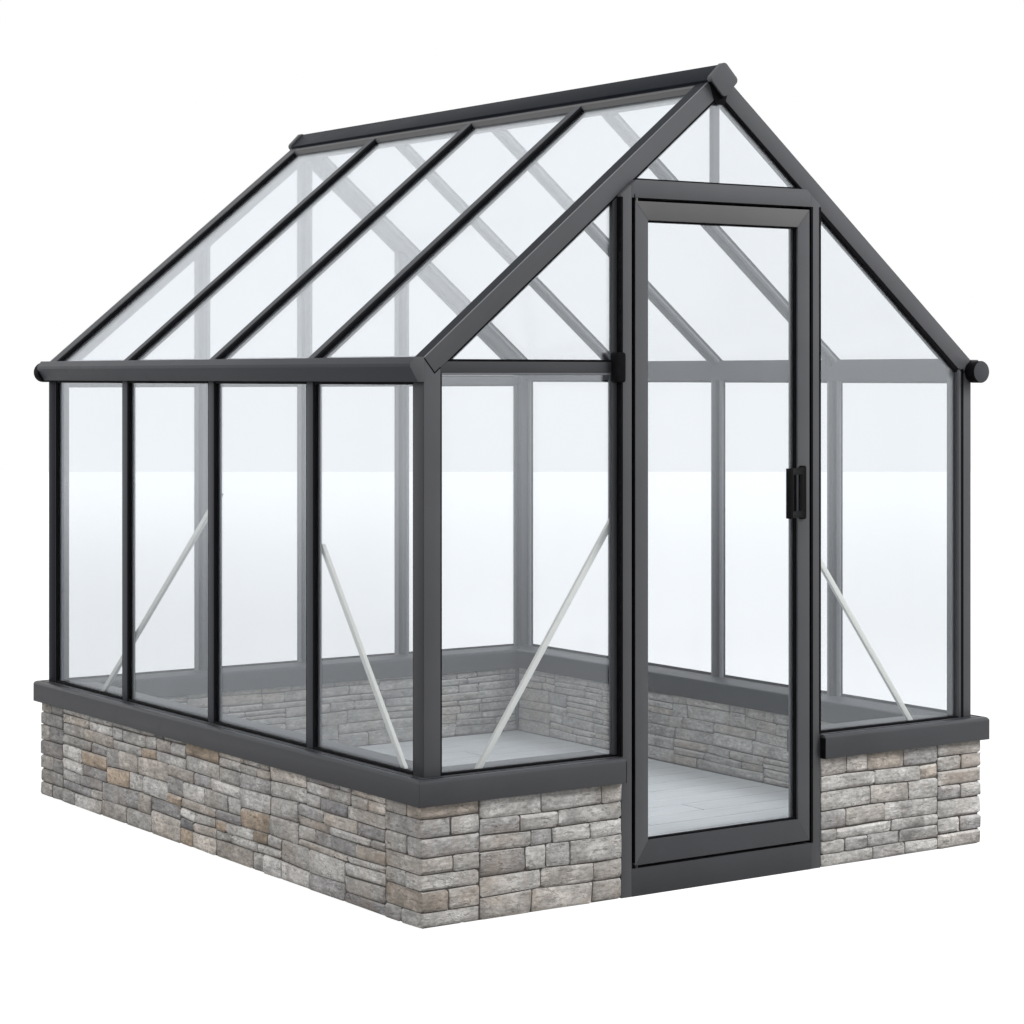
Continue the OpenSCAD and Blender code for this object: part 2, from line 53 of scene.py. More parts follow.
POSTS_LOW, POSTS_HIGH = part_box("door_posts")
LINTEL_LOW, LINTEL_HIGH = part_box("door_lintel")
LEAF_LOW, LEAF_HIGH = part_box("door_top_rail")
BARS_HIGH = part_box("side_bars_left")[1]
FRONT_RAIL_LOW, FRONT_RAIL_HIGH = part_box("front_rail")
BACK_RAIL_LOW, BACK_RAIL_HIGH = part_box("back_rail")
MULLION_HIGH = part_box("back_mullions")[1]
RIDGE_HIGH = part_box("ridge_beam")[1]
DOOR_GLASS_LOW, DOOR_GLASS_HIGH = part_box("door_glass")

FRAME_X = POST_HIGH.x
FRAME_Y = -POST_LOW.y
POST_W = POST_HIGH.y - POST_LOW.y
SILL_Z = POST_LOW.z
EAVE_Z = POST_HIGH.z
PITCH = math.radians(39.5)
POST_RISE = POST_W / math.cos(PITCH)
BAR_FACE = 0.036
BAYS = 4
BAY = 2 * FRAME_Y / BAYS
WALL_X = -WALL_LOW.x
WALL_Y = WALL_HIGH.y
ROOM_X = DECK_HIGH.x
ROOM_Y = DECK_HIGH.y
DOOR_X = POSTS_HIGH.x
STONE_TOP = CAP_LOW.z
DECK_TOP = DECK_HIGH.z
GROUND = 0.0
HOUSE_MIDDLE = (0, 0, 1)


def under_z(x):
    """Height of the gable rafters' undersides at a place across the front."""
    return EAVE_Z + (FRAME_X - abs(x)) * math.tan(PITCH) - POST_RISE


def peak_x(z):
    """Place across the front where the rafters' undersides are at a height."""
    return FRAME_X - (z + POST_RISE - EAVE_Z) / math.tan(PITCH)


def bar_y(i):
    """Place of a glazing bar along the side."""
    return -FRAME_Y + i * BAY


class Shade:
    """A socket of a material's nodes. Arithmetic on it adds Math nodes."""

    def __init__(self, tree, socket=None):
        self.tree = tree
        self.socket = socket

    def add(self, kind, settings=None, sockets=None, out=0):
        """Adds a node with its settings, then its sockets' values or links, and gives one output."""
        node = self.tree.nodes.new(kind)
        for name, value in (settings or {}).items():
            setattr(node, name, value)
        for name, value in (sockets or {}).items():
            if isinstance(value, Shade):
                self.tree.links.new(value.socket, node.inputs[name])
            else:
                node.inputs[name].default_value = value
        return Shade(self.tree, node.outputs[out])

    def math(self, operation, a, b):
        """A Math node on two values."""
        return self.add("ShaderNodeMath", {"operation": operation}, {0: a, 1: b})

    def __add__(self, other):
        return self.math("ADD", self, other)

    def __sub__(self, other):
        return self.math("SUBTRACT", self, other)

    def __rsub__(self, other):
        return self.math("SUBTRACT", other, self)

    def __mul__(self, other):
        return self.math("MULTIPLY", self, other)

    def __pow__(self, other):
        return self.math("POWER", self, other)

    __radd__ = __add__
    __rmul__ = __mul__

    def place(self, stretch=(1, 1, 1)):
        """Object coordinates, stretched along their axes."""
        spot = self.add("ShaderNodeTexCoord", out="Object")
        return self.add("ShaderNodeMapping", None, {"Vector": spot, "Scale": stretch})

    def noise(self, spot, scale, detail=4.0, rough=0.55, seed=0.0):
        """Soft noise between 0 and 1."""
        return self.add("ShaderNodeTexNoise", {"noise_dimensions": "4D"},
                        {"Vector": spot, "W": seed, "Scale": scale, "Detail": detail, "Roughness": rough})

    def between(self, low, high, to_low=0.0, to_high=1.0):
        """The value stretched from one range to another and held inside it."""
        return self.add("ShaderNodeMapRange", {"interpolation_type": "SMOOTHSTEP"},
                        {0: self, 1: low, 2: high, 3: to_low, 4: to_high})

    def mix(self, factor, a, b, how="MIX"):
        """Two colours mixed by a factor."""
        return self.add("ShaderNodeMix", {"data_type": "RGBA", "blend_type": how, "clamp_factor": True},
                        {0: factor, 6: a, 7: b}, out=2)

    def grey(self, value):
        """A value as a grey colour."""
        return self.add("ShaderNodeCombineColor", None, {0: value, 1: value, 2: value})

    def bump(self, height, distance, strength=1.0):
        """A normal raised by a height."""
        return self.add("ShaderNodeBump", None,
                        {"Strength": strength, "Distance": distance, "Height": height})

    def outward(self, spot):
        """How far a surface faces away from the middle that a place is measured from."""
        normal = self.add("ShaderNodeTexCoord", out="Normal")
        return self.add("ShaderNodeVectorMath", {"operation": "DOT_PRODUCT"},
                        {0: normal, 1: spot}, out="Value")

    def coated(self, base, rough, normal, sheen=0.5):
        """A surface with its colour, roughness, normal and sheen."""
        return self.add("ShaderNodeBsdfPrincipled", None, {
            "Base Color": base, "Roughness": rough, "Specular IOR Level": sheen, "Normal": normal})

    def surface(self, shader):
        """Ends the material at a shader."""
        self.add_output("ShaderNodeOutputMaterial", shader)

    def add_output(self, kind, shader):
        """Ends the nodes at a shader, in one kind of output."""
        node = self.tree.nodes.new(kind)
        self.tree.links.new(shader.socket, node.inputs["Surface"])


def start_material(name):
    """A new material with no nodes, and the shade that adds them."""
    made = bpy.data.materials.new(name)
    made.use_nodes = True
    made.node_tree.nodes.clear()
    return made, Shade(made.node_tree)


def colour(red, green, blue):
    """An opaque colour."""
    return (red, green, blue, 1)


def frame_paint(name, deep, light, sheen, shaded=False):
    """Powder coat: a fine orange peel, tone and gloss that drift, and when shaded, painted shade on the sides
    that face the room.
    """
    made, s = start_material(name)
    spot = s.place()
    drift = s.noise(spot, 3.0, 3.0)
    peel = s.noise(spot, 700.0, 2.0)
    dust = s.noise(spot, 24.0, 4.0, 0.6).between(0.52, 0.78)
    clean = s.mix(drift.between(0.3, 0.7), deep, light)
    tone = s.mix(dust * 0.07, clean, colour(0.17, 0.17, 0.17))
    rough = drift.between(0.25, 0.75, 0.42, 0.52) + dust * 0.08
    coat = s.coated(tone, rough, s.bump(peel, 0.00015, 0.5), sheen)
    # Painted shade: sides that face into the room turn to a dark matt colour.
    if shaded:
        shade = s.add("ShaderNodeBsdfDiffuse", None,
                      {"Color": s.mix(0.5, clean, colour(0.004, 0.004, 0.005))})
        inward = s.outward(spot).between(-0.2, -0.5)
        coat = s.add("ShaderNodeMixShader", None, {0: inward, 1: coat, 2: shade})
    s.surface(coat)
    return made


def seal_rubber():
    """Black glazing rubber with a dull bloom."""
    made, s = start_material("black_seal_rubber")
    spot = s.place()
    bloom = s.noise(spot, 40.0, 4.0)
    tone = s.mix(bloom.between(0.35, 0.75), colour(0.003, 0.003, 0.004), colour(0.008, 0.008, 0.009))
    grain = s.noise(spot, 900.0, 2.0)
    s.surface(s.coated(tone, bloom.between(0.3, 0.7, 0.55, 0.75), s.bump(grain, 0.0001, 0.4), 0.08))
    return made


def clear_glass(name, low_painted_reflection, high_painted_reflection):
    """Clear glass: a faint blue body, and on its outer faces a painted reflection that grows with height and
    at grazing.
    """
    made, s = start_material(name)
    facing = s.add("ShaderNodeLayerWeight", None, {"Blend": 0.5}, out="Facing")
    spot = s.place()
    marks = s.noise(s.place((1, 1, 0.15)), 9.0, 5.0).between(0.5, 0.8)
    height = s.add("ShaderNodeSeparateXYZ", None, {0: spot}, out="Z")
    from_middle = s.add("ShaderNodeVectorMath", {"operation": "SUBTRACT"}, {0: spot, 1: HOUSE_MIDDLE})
    outer = s.outward(from_middle)
    # Painted reflection: on outer faces only, growing with height and at grazing.
    painted_reflection = height.between(0.5, 2.5, low_painted_reflection, high_painted_reflection) + 0.35 * facing ** 2.5
    shine = s.math("GREATER_THAN", outer, 0.0) * painted_reflection + 0.04 + 0.30 * facing ** 5.0 + 0.02 * marks
    through = s.add("ShaderNodeBsdfTransparent", None, {"Color": colour(0.972, 0.981, 0.989)})
    gloss = s.add("ShaderNodeBsdfGlossy", None, {"Color": colour(0.92, 0.96, 1), "Roughness": 0.16})
    s.surface(s.add("ShaderNodeMixShader", None, {0: shine, 1: through, 2: gloss}))
    return made


def wall_stone():
    """Split stone: a tone for each one, under bedding lines, chips, cracks, stains and clouds, with painted
    highlights on edges facing up and painted shade on edges facing down.
    """
    made, s = start_material("split_stone")
    tone = s.add("ShaderNodeAttribute", {"attribute_name": "stone_tone"})
    seed = s.add("ShaderNodeAttribute", {"attribute_name": "stone_tone"}, out="Alpha") * 60.0
    edge = s.add("ShaderNodeAttribute", {"attribute_name": "stone_edge"}, out="Fac")
    spot = s.place()
    cloud = s.noise(spot, 15.0, 6.0, 0.62, seed)
    chips = s.noise(s.place((1, 1, 2.0)), 58.0, 6.0, 0.68, seed)
    beds = s.noise(s.place((5, 5, 52)), 2.0, 5.0, 0.62, seed)
    grain = s.noise(spot, 240.0, 3.0, 0.6)
    scars = s.noise(s.place((1, 1, 2.8)), 30.0, 5.0, 0.6, seed).between(0.58, 0.66)
    warm = s.noise(spot, 4.6, 4.0, 0.6, 3.0).between(0.48, 0.70)
    rust = s.noise(spot, 26.0, 4.0, 0.6, 5.0).between(0.56, 0.72)
    smoke = s.noise(spot, 5.4, 5.0, 0.62, 9.0).between(0.54, 0.76)
    split = s.noise(s.place((1, 1, 2.6)), 13.0, 4.0, 0.55, seed)
    crack = s.math("ABSOLUTE", split - 0.5, 0.0).between(0.003, 0.014, 1.0, 0.0) * cloud.between(0.42, 0.56)
    light = cloud.between(0.28, 0.72, 0.70, 1.24) * chips.between(0.32, 0.68, 0.74, 1.22)
    light = light * beds.between(0.32, 0.68, 0.86, 1.10) * smoke.between(0.0, 1.0, 1.04, 0.60)
    body = s.mix(1.0, tone, s.grey(light), "MULTIPLY")
    body = s.mix(warm * 0.40, body, colour(0.43, 0.325, 0.24))
    body = s.mix(rust * 0.22, body, colour(0.40, 0.27, 0.17))
    body = s.mix(scars * 0.34, body, colour(0.120, 0.108, 0.100))
    body = s.mix(crack * 0.36, body, colour(0.085, 0.076, 0.068))
    # Painted shade on the stones' edges that face down, and painted highlights on those that face up.
    normal = s.add("ShaderNodeTexCoord", out="Normal")
    upward = s.add("ShaderNodeSeparateXYZ", None, {0: normal}, out="Z")
    body = s.mix(edge * upward.between(0.10, -0.30) * 0.54, body, colour(0.115, 0.100, 0.088))
    body = s.mix(edge * upward.between(0.12, 0.50) * 0.64, body, colour(0.80, 0.79, 0.77))
    body = s.mix(0.22, body, s.grey(grain.between(0.2, 0.8, 0.1, 0.9)), "SOFT_LIGHT")
    height = cloud * 1.2 + chips * 0.5 + beds * 0.5 + grain * 0.08 - scars * 0.45 - crack * 0.5
    rough = cloud.between(0.3, 0.7, 0.84, 0.97)
    s.surface(s.coated(body, rough, s.bump(height, 0.007, 0.6), 0.2))
    return made


def wall_mortar():
    """Dark sandy mortar set back in the joints."""
    made, s = start_material("joint_mortar")
    spot = s.place()
    sand = s.noise(spot, 420.0, 3.0)
    damp = s.noise(spot, 8.0, 4.0)
    tone = s.mix(damp, colour(0.095, 0.088, 0.080), colour(0.165, 0.155, 0.143))
    s.surface(s.coated(tone, damp.between(0.3, 0.7, 0.88, 0.98), s.bump(sand, 0.001, 0.8)))
    return made


def deck_board():
    """Pale grey board with fine streaks along its length."""
    made, s = start_material("pale_floor_board")
    tone = s.add("ShaderNodeAttribute", {"attribute_name": "board_tone"})
    seed = s.add("ShaderNodeAttribute", {"attribute_name": "board_tone"}, out="Alpha") * 40.0
    streak = s.noise(s.place((1.1, 26, 26)), 4.0, 6.0, 0.62, seed)
    fibre = s.noise(s.place((6, 170, 170)), 3.0, 3.0, 0.6, seed)
    light = streak.between(0.25, 0.75, 0.90, 1.06) * fibre.between(0.2, 0.8, 0.95, 1.03)
    body = s.mix(1.0, tone, s.grey(light), "MULTIPLY")
    rough = streak.between(0.3, 0.7, 0.55, 0.72)
    s.surface(s.coated(body, rough, s.bump(streak * 0.6 + fibre * 0.4, 0.0012, 0.5), 0.3))
    return made


def brace_metal():
    """Bare aluminium strip with a long brushed grain."""
    made, s = start_material("bare_aluminium")
    brushed = s.noise(s.place((30, 30, 3)), 20.0, 3.0)
    tone = s.mix(brushed, colour(0.84, 0.835, 0.77), colour(0.95, 0.945, 0.88))
    s.surface(s.coated(tone, brushed.between(0.3, 0.7, 0.38, 0.5), s.bump(brushed, 0.0003, 0.4)))
    return made


def bead_metal():
    """Pale anodised bead that holds the glass from inside."""
    made, s = start_material("pale_anodised_bead")
    cloud = s.noise(s.place(), 30.0, 4.0)
    tone = s.mix(cloud, colour(0.17, 0.175, 0.19), colour(0.23, 0.235, 0.25))
    s.surface(s.coated(tone, cloud.between(0.3, 0.7, 0.4, 0.55), s.bump(cloud, 0.0002, 0.3)))
    return made


def handle_black():
    """Matt black moulding with a fine grain."""
    made, s = start_material("matt_black_handle")
    spot = s.place()
    grain = s.noise(spot, 1500.0, 2.0)
    touch = s.noise(spot, 30.0, 4.0)
    tone = s.mix(touch, colour(0.002, 0.002, 0.0024), colour(0.005, 0.005, 0.0055))
    s.surface(s.coated(tone, touch.between(0.3, 0.7, 0.40, 0.55), s.bump(grain, 0.00012, 0.5), 0.10))
    return made


# The first coat is the frame's own paint. The darker coats after it are that paint with painted shade, the
# pale coat is it with painted light, and the slate coat also colours some plain strips, discs and trims.
PAINT = frame_paint("anthracite_powder_coat", colour(0.074, 0.076, 0.082), colour(0.090, 0.092, 0.099), 0.5)
SLATE = frame_paint("slate_powder_coat", colour(0.036, 0.038, 0.042), colour(0.046, 0.048, 0.053), 0.45)
CAP_SHADE_TONES = (colour(0.050, 0.052, 0.057), colour(0.062, 0.064, 0.070))
CAP_PAINTED_SHADE = frame_paint("cap_powder_coat", *CAP_SHADE_TONES, 0.5)
# The right cap's coat has painted shade on its faces towards the room.
CAP_ROOM_SHADE_COAT = frame_paint("right_cap_powder_coat", *CAP_SHADE_TONES, 0.5, shaded=True)
BLUE_PAINTED_SHADE = frame_paint("blue_shade_powder_coat",
                        colour(0.040, 0.045, 0.054), colour(0.052, 0.057, 0.067), 0.4)
PAINTED_LIGHT_COAT = frame_paint("painted_light_powder_coat", colour(0.115, 0.114, 0.116), colour(0.140, 0.139, 0.141), 0.5)
DEEP_PAINTED_SHADE = frame_paint("deep_shade_powder_coat", colour(0.019, 0.023, 0.030), colour(0.028, 0.032, 0.040), 0.05)
RUBBER = seal_rubber()
# The door's glass has less painted reflection, least low down, so the room behind it shows darker.
GLASS = clear_glass("clear_glass", 0.055, 0.150)
DOOR_GLASS = clear_glass("clear_door_glass", 0.005, 0.130)
STONE = wall_stone()
MORTAR = wall_mortar()
BOARD = deck_board()
ALUMINIUM = brace_metal()
BEAD = bead_metal()
BLACK = handle_black()


def work_on(piece):
    """Makes one piece the only one selected, and the active one."""
    bpy.ops.object.select_all(action="DESELECT")
    piece.select_set(True)
    bpy.context.view_layer.objects.active = piece


def edit_all(piece):
    """Opens a piece in edit mode with everything selected."""
    work_on(piece)
    bpy.ops.object.mode_set(mode="EDIT")
    bpy.ops.mesh.select_all(action="SELECT")


def close_edit():
    """Leaves edit mode."""
    bpy.ops.object.mode_set(mode="OBJECT")


def pick_edges(piece, test):
    """In edit mode, selects the edges whose two ends pass a test."""
    bpy.ops.mesh.select_mode(type="EDGE")
    bpy.ops.mesh.select_all(action="DESELECT")
    close_edit()
    points = piece.data.vertices
    for edge in piece.data.edges:
        edge.select = test(*(points[i].co for i in edge.vertices))
    bpy.ops.object.mode_set(mode="EDIT")


def add_block(name, low, high):
    """A box between two corners, ready to be shaped."""
    low, high = Vector(low), Vector(high)
    bpy.ops.object.select_all(action="DESELECT")
    bpy.ops.mesh.primitive_cube_add(size=1, location=(low + high) / 2, scale=high - low)
    piece = bpy.context.object
    piece.name = piece.data.name = name
    bpy.ops.object.transform_apply(location=True, rotation=True, scale=True)
    return piece


def round_edges(piece, radius, segments=2, angle=35):
    """Rounds every edge sharper than an angle, and smooths the shading over it."""
    work_on(piece)
    bevel = piece.modifiers.new("rounding", "BEVEL")
    bevel.width = radius
    bevel.segments = segments
    bevel.limit_method = "ANGLE"
    bevel.angle_limit = math.radians(angle)
    bpy.ops.object.modifier_apply(modifier=bevel.name)
    bpy.ops.object.shade_smooth_by_angle(angle=math.radians(angle))


def close_normals(piece, angle=35):
    """Turns every face outwards, and smooths the shading over edges blunter than an angle."""
    edit_all(piece)
    bpy.ops.mesh.normals_make_consistent(inside=False)
    close_edit()
    work_on(piece)
    bpy.ops.object.shade_smooth_by_angle(angle=math.radians(angle))


def finish_piece(piece, body, material, replaced=()):
    """Gives a piece its finish, its body and the nodes that it stands for."""
    piece.data.materials.clear()
    piece.data.materials.append(material)
    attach(piece, body)
    if replaced:
        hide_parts(*replaced)
    return piece


def rounded_block(name, body, slot, low, high, radius, material, segments=2):
    """A block between two corners with its edges rounded, and its finish."""
    piece = add_block(name, low, high)
    round_edges(piece, radius, segments)
    finish_piece(piece, body, material)


MERGE_GAP = 0.00002
FLAT_ANGLE = 0.5


def soft_copy(node, radius):
    """A copy of a node with its corners merged and its sharp edges rounded, to stand for the node."""
    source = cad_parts[node]
    piece = bpy.data.objects.new(node + "_finished", source.data.copy())
    bpy.context.scene.collection.objects.link(piece)
    edit_all(piece)
    bpy.ops.mesh.remove_doubles(threshold=MERGE_GAP)
    bpy.ops.mesh.dissolve_limited(angle_limit=math.radians(FLAT_ANGLE))
    close_edit()
    round_edges(piece, radius)
    return piece


def unit_mesh(piece):
    """A modelled shape's points and faces, taken off the scene so that it can be laid many times."""
    points = np.array([v.co for v in piece.data.vertices])
    faces = [list(f.vertices) for f in piece.data.polygons]
    bpy.data.objects.remove(piece)
    return points, faces


def laid_mesh(name, copies, faces, tones=None, tone_name="tone"):
    """One joined mesh from many copies of a shape, each an array of its own points, with a tone for each."""
    count = len(copies[0])
    mesh = bpy.data.meshes.new(name)
    every = [[i + k * count for i in face] for k in range(len(copies)) for face in faces]
    mesh.from_pydata(np.concatenate(copies).tolist(), [], every)
    if tones is not None:
        layer = mesh.attributes.new(tone_name, "FLOAT_COLOR", "POINT")
        layer.data.foreach_set("color", np.repeat(np.array(tones), count, axis=0).ravel())
    mesh.update()
    piece = bpy.data.objects.new(name, mesh)
    bpy.context.scene.collection.objects.link(piece)
    return piece


# Stonework: one block with three bands of faces each way, laid again and again
STONE_DEPTH = 0.060
STONE_RIM = 0.008
STONE_RIM_SHARE = 0.3
STONE_CUTS = (-0.5, -0.17, 0.17, 0.5)
STONE_END_AT = 0.4
STONE_WEAR = 0.0012
STONE_WEAR_PLAY = (0.5, 1.7)
STONE_SHRINK = (0.70, 1.0)
STONE_JITTER = (0.0013, 0.0011, 0.0011)
STONE_PROUD = (0.0004, 0.0034)
STONE_LENGTHS = (0.06, 0.24)
STONE_SMOOTH = 24
RUN_LENGTHS = (0.20, 0.55)
JOINT = 0.0021
JOINT_PLAY = (0.35, 1.25)
ROOM_JOINT = 0.0012
FACE_PLAY = 0.0016
BAND = 0.105
BAND_PLAY = (0.9, 1.1)
COURSES = (1, 2, 3, 4)
COURSE_SHARES = (2, 36, 50, 12)
COURSE_PLAY = (0.65, 1.35)
LIGHT_PLAY = 0.16
SCATTER = 0.7
STONE_TONES = [
    ((0.64, 0.625, 0.605), 0.22),
    ((0.55, 0.535, 0.515), 0.32),
    ((0.57, 0.53, 0.49), 0.18),
    ((0.46, 0.45, 0.445), 0.14),
    ((0.51, 0.435, 0.365), 0.07),
    ((0.36, 0.355, 0.36), 0.07),
]
dice = random.Random(1847)


def model_stone():
    """A rough block, cut in three along each edge."""
    piece = add_block("stone_unit", (-0.5, -0.5, -0.5), (0.5, 0.5, 0.5))
    edit_all(piece)
    bpy.ops.mesh.subdivide(number_cuts=2)
    close_edit()
    return unit_mesh(piece)


STONE_POINTS, STONE_FACES = model_stone()
STONE_ENDS = np.sign(STONE_POINTS) * (np.abs(STONE_POINTS) > STONE_END_AT)
STONE_SIDES = np.abs(STONE_ENDS).sum(axis=1)
STONE_EDGE = (STONE_SIDES > 1).astype(float)


def spread(unit, size, rim):
    """Unit places spread over a size, with the outer bands as wide as the rim."""
    rim = min(rim, STONE_RIM_SHARE * size)
    return np.interp(unit, STONE_CUTS, [-size / 2, rim - size / 2, size / 2 - rim, size / 2])


def chance(low, high, *shape):
    """An array of random numbers between two limits."""
    return np.array([dice.uniform(low, high) for _ in range(math.prod(shape))]).reshape(shape)


def hewn_stone(left, low, front, length, height, depth):
    """One stone's points along, up and out: a block with worn edges and a hewn face."""
    count = len(STONE_POINTS)
    sizes = (length, height, depth)
    local = np.stack([spread(STONE_POINTS[:, k], sizes[k], STONE_RIM) for k in range(3)], axis=1)
    worn = STONE_WEAR * np.maximum(STONE_SIDES - 1, 0)[:, None] * STONE_ENDS
    local = local - worn * chance(*STONE_WEAR_PLAY, count, 1)
    middle = (STONE_SIDES == 1)[:, None]
    shrink = np.where(middle & (STONE_ENDS == 0), chance(*STONE_SHRINK, count, 3), 1.0)
    local = local * shrink + chance(-1, 1, count, 3) * STONE_JITTER
    proud = (STONE_SIDES == 1) * (STONE_ENDS[:, 2] > 0)
    local[:, 2] = local[:, 2] + proud * chance(*STONE_PROUD, count)
    return local + np.array([left + length / 2, low + height / 2, front - depth / 2])


def on_face(points, start, along, out):
    """Points along, up and out of a face, set at their places in the house."""
    return np.array(start) + points @ np.array([along, UP, out])


def stone_tone(scatter, lift=1.0):
    """A stone's colour, like or unlike the common one and scaled by the lift (painted light above one,
    painted shade below one), with a seed in its last place.
    """
    pick = dice.uniform(0, sum(share for _, share in STONE_TONES))
    for tone, share in STONE_TONES:
        pick -= share
        if pick <= 0:
            break
    common = STONE_TONES[1][0]
    light = lift * dice.uniform(1 - LIGHT_PLAY * scatter, 1 + LIGHT_PLAY * scatter)
    mixed = [light * (scatter * part + (1 - scatter) * base) for part, base in zip(tone, common)]
    return mixed + [dice.random()]


def cut_lengths(total, low, high):
    """Random lengths between two limits that fill a total."""
    lengths = []
    left = total
    while left > high:
        piece = dice.uniform(low, min(high, left - low))
        lengths.append(piece)
        left -= piece
    lengths.append(left)
    return lengths


def course_heights(height):
    """A band's courses: one tall stone, or two to four thinner ones."""
    count = dice.choices(COURSES, COURSE_SHARES)[0]
    parts = [dice.uniform(*COURSE_PLAY) for _ in range(count)]
    return [height * part / sum(parts) for part in parts]


WAVES = [(0.0030, 0.90, 0.60), (0.0013, 0.31, -0.40), (0.0009, 0.11, 0.22), (0.0005, 0.064, -0.15)]
WAVE_START = 6.3
SWAY_FADE = 0.05
FOOT_CLEAR = 0.0004


def sway(points, length, z_low):
    """Courses that wander a little, and stay true at the wall's ends and foot."""
    s = points[:, 0]
    z = points[:, 1]
    ends = np.clip(np.minimum(s, length - s) / SWAY_FADE, 0, 1) * np.clip((z - z_low) / SWAY_FADE, 0, 1)
    moved = points.copy()
    for axis in (0, 1):
        for size, wide, high in WAVES:
            turn = 2 * math.pi * (s / wide + z / high) + dice.uniform(0, WAVE_START)
            moved[:, axis] += ends * size * np.sin(turn)
    moved[:, 1] = np.maximum(moved[:, 1], z_low + FOOT_CLEAR)
    return moved


def lay_face(start, along, out, length, z_low, z_high, scatter=SCATTER, lift=1.0, joint=JOINT):
    """Stones over one flat face of the wall, in bands whose runs break into courses."""
    laid = []
    tones = []
    bands = max(1, round((z_high - z_low) / BAND))
    heights = [dice.uniform(*BAND_PLAY) for _ in range(bands)]
    scale = (z_high - z_low) / sum(heights)
    z = z_low
    for band in heights:
        band *= scale
        place = 0.0
        for run in cut_lengths(length, *RUN_LENGTHS):
            step = 0.0
            for high in course_heights(band):
                spot = place
                for size in cut_lengths(run, *STONE_LENGTHS):
                    gap = joint * dice.uniform(*JOINT_PLAY)
                    front = dice.uniform(-FACE_PLAY, FACE_PLAY)
                    laid.append(hewn_stone(spot + gap / 2, z + step + gap / 2, front,
                                           size - gap, high - gap, STONE_DEPTH))
                    tones.append(stone_tone(scatter, lift))
                    spot += size
                step += high
            place += run
        z += band
    swayed = sway(np.concatenate(laid), length, z_low)
    placed = on_face(swayed, start, along, out).reshape(len(laid), -1, 3)
    return list(zip(placed, tones))


QUOINS = 7
QUOIN_LONG = 0.19
QUOIN_SHORT = 0.095
QUOIN_PLAY = (0.8, 1.15)
QUOIN_RISE_PLAY = (0.85, 1.15)


def lay_corner(corner, along_x, along_y, z_low, z_high):
    """A pile of corner stones, long on one face and short on the other by turns, with fillers beside them."""
    laid = []
    z = z_low + JOINT / 2
    heights = [dice.uniform(*QUOIN_RISE_PLAY) for _ in range(QUOINS)]
    scale = (z_high - z_low) / sum(heights)
    for k, height in enumerate(heights):
        height *= scale
        long_x = k % 2 == 0
        short = QUOIN_SHORT * dice.uniform(*QUOIN_PLAY)
        size_x, size_y = (QUOIN_LONG, short) if long_x else (short, QUOIN_LONG)
        stone = hewn_stone(dice.uniform(-FACE_PLAY, FACE_PLAY), z, dice.uniform(-FACE_PLAY, FACE_PLAY),
                           size_x - JOINT, height - JOINT, size_y - JOINT)
        laid.append((on_face(stone, corner, along_x, -along_y), stone_tone(SCATTER)))
        filler = QUOIN_LONG - (size_y if long_x else size_x)
        side, out = (along_y, -along_x) if long_x else (along_x, -along_y)
        stone = hewn_stone(QUOIN_LONG - filler + JOINT / 2, z, dice.uniform(-FACE_PLAY, FACE_PLAY),
                           filler - JOINT, height - JOINT, STONE_DEPTH)
        laid.append((on_face(stone, corner, side, out), stone_tone(SCATTER)))
        z += height
    return laid


def stonework(name, node, laid, core):
    """A wall's stones and the mortar behind them, standing for the wall."""
    stones = laid_mesh(name, [s[0] for s in laid], STONE_FACES, [s[1] for s in laid], "stone_tone")
    edges = stones.data.attributes.new("stone_edge", "FLOAT", "POINT")
    edges.data.foreach_set("value", np.tile(STONE_EDGE, len(laid)))
    close_normals(stones, STONE_SMOOTH)
    finish_piece(stones, "house", STONE, [node])
    rounded_block(node + "_mortar", "house", "stone", *core, MORTAR_R, MORTAR)


CORE_BACK = 0.006
MORTAR_R = 0.004
MORTAR_TOP = WALL_HIGH.z
CAP_LAP = 0.012
FACE_TOP = STONE_TOP + CAP_LAP
ALONG_X = Vector((1, 0, 0))
ALONG_Y = Vector((0, 1, 0))
LONG_SCATTER = 1.25
# Painted light on the side walls' outer faces, as a scale on the stones' tones.
LONG_PAINTED_LIGHT = 1.24
ROOM_SCATTER = 0.5
# Painted shade on the stones' faces towards the room.
ROOM_PAINTED_SHADE = 0.74


def corner_at(side, end):
    """The pile at one outer corner; side and end are -1 or 1 across and along."""
    corner = Vector((side * WALL_X, end * WALL_Y, 0))
    return lay_corner(corner, ALONG_X * -side, ALONG_Y * -end, GROUND, FACE_TOP)


def room_face(start, along, out, length):
    """Stones on a face towards the room: darker by painted shade, more alike and closer laid."""
    return lay_face(start, along, out, length, DECK_TOP, FACE_TOP, ROOM_SCATTER, ROOM_PAINTED_SHADE, ROOM_JOINT)


def long_wall(name, node, side):
    """A side wall: outer face between its corner piles, inner face between the end walls."""
    laid = corner_at(side, -1) + corner_at(side, 1)
    # Painted light: the outer face's stones are lifted lighter.
    laid += lay_face(Vector((side * WALL_X, -WALL_Y + QUOIN_LONG, 0)), ALONG_Y, ALONG_X * side,
                     2 * (WALL_Y - QUOIN_LONG), GROUND, FACE_TOP, LONG_SCATTER, LONG_PAINTED_LIGHT)
    laid += room_face(Vector((side * ROOM_X, -ROOM_Y, 0)), ALONG_Y, ALONG_X * -side, 2 * ROOM_Y)
    left, right = sorted((side * (WALL_X - CORE_BACK), side * (ROOM_X + CORE_BACK)))
    core = ((left, -WALL_Y + CORE_BACK, 0), (right, WALL_Y - CORE_BACK, MORTAR_TOP))
    stonework(name, node, laid, core)


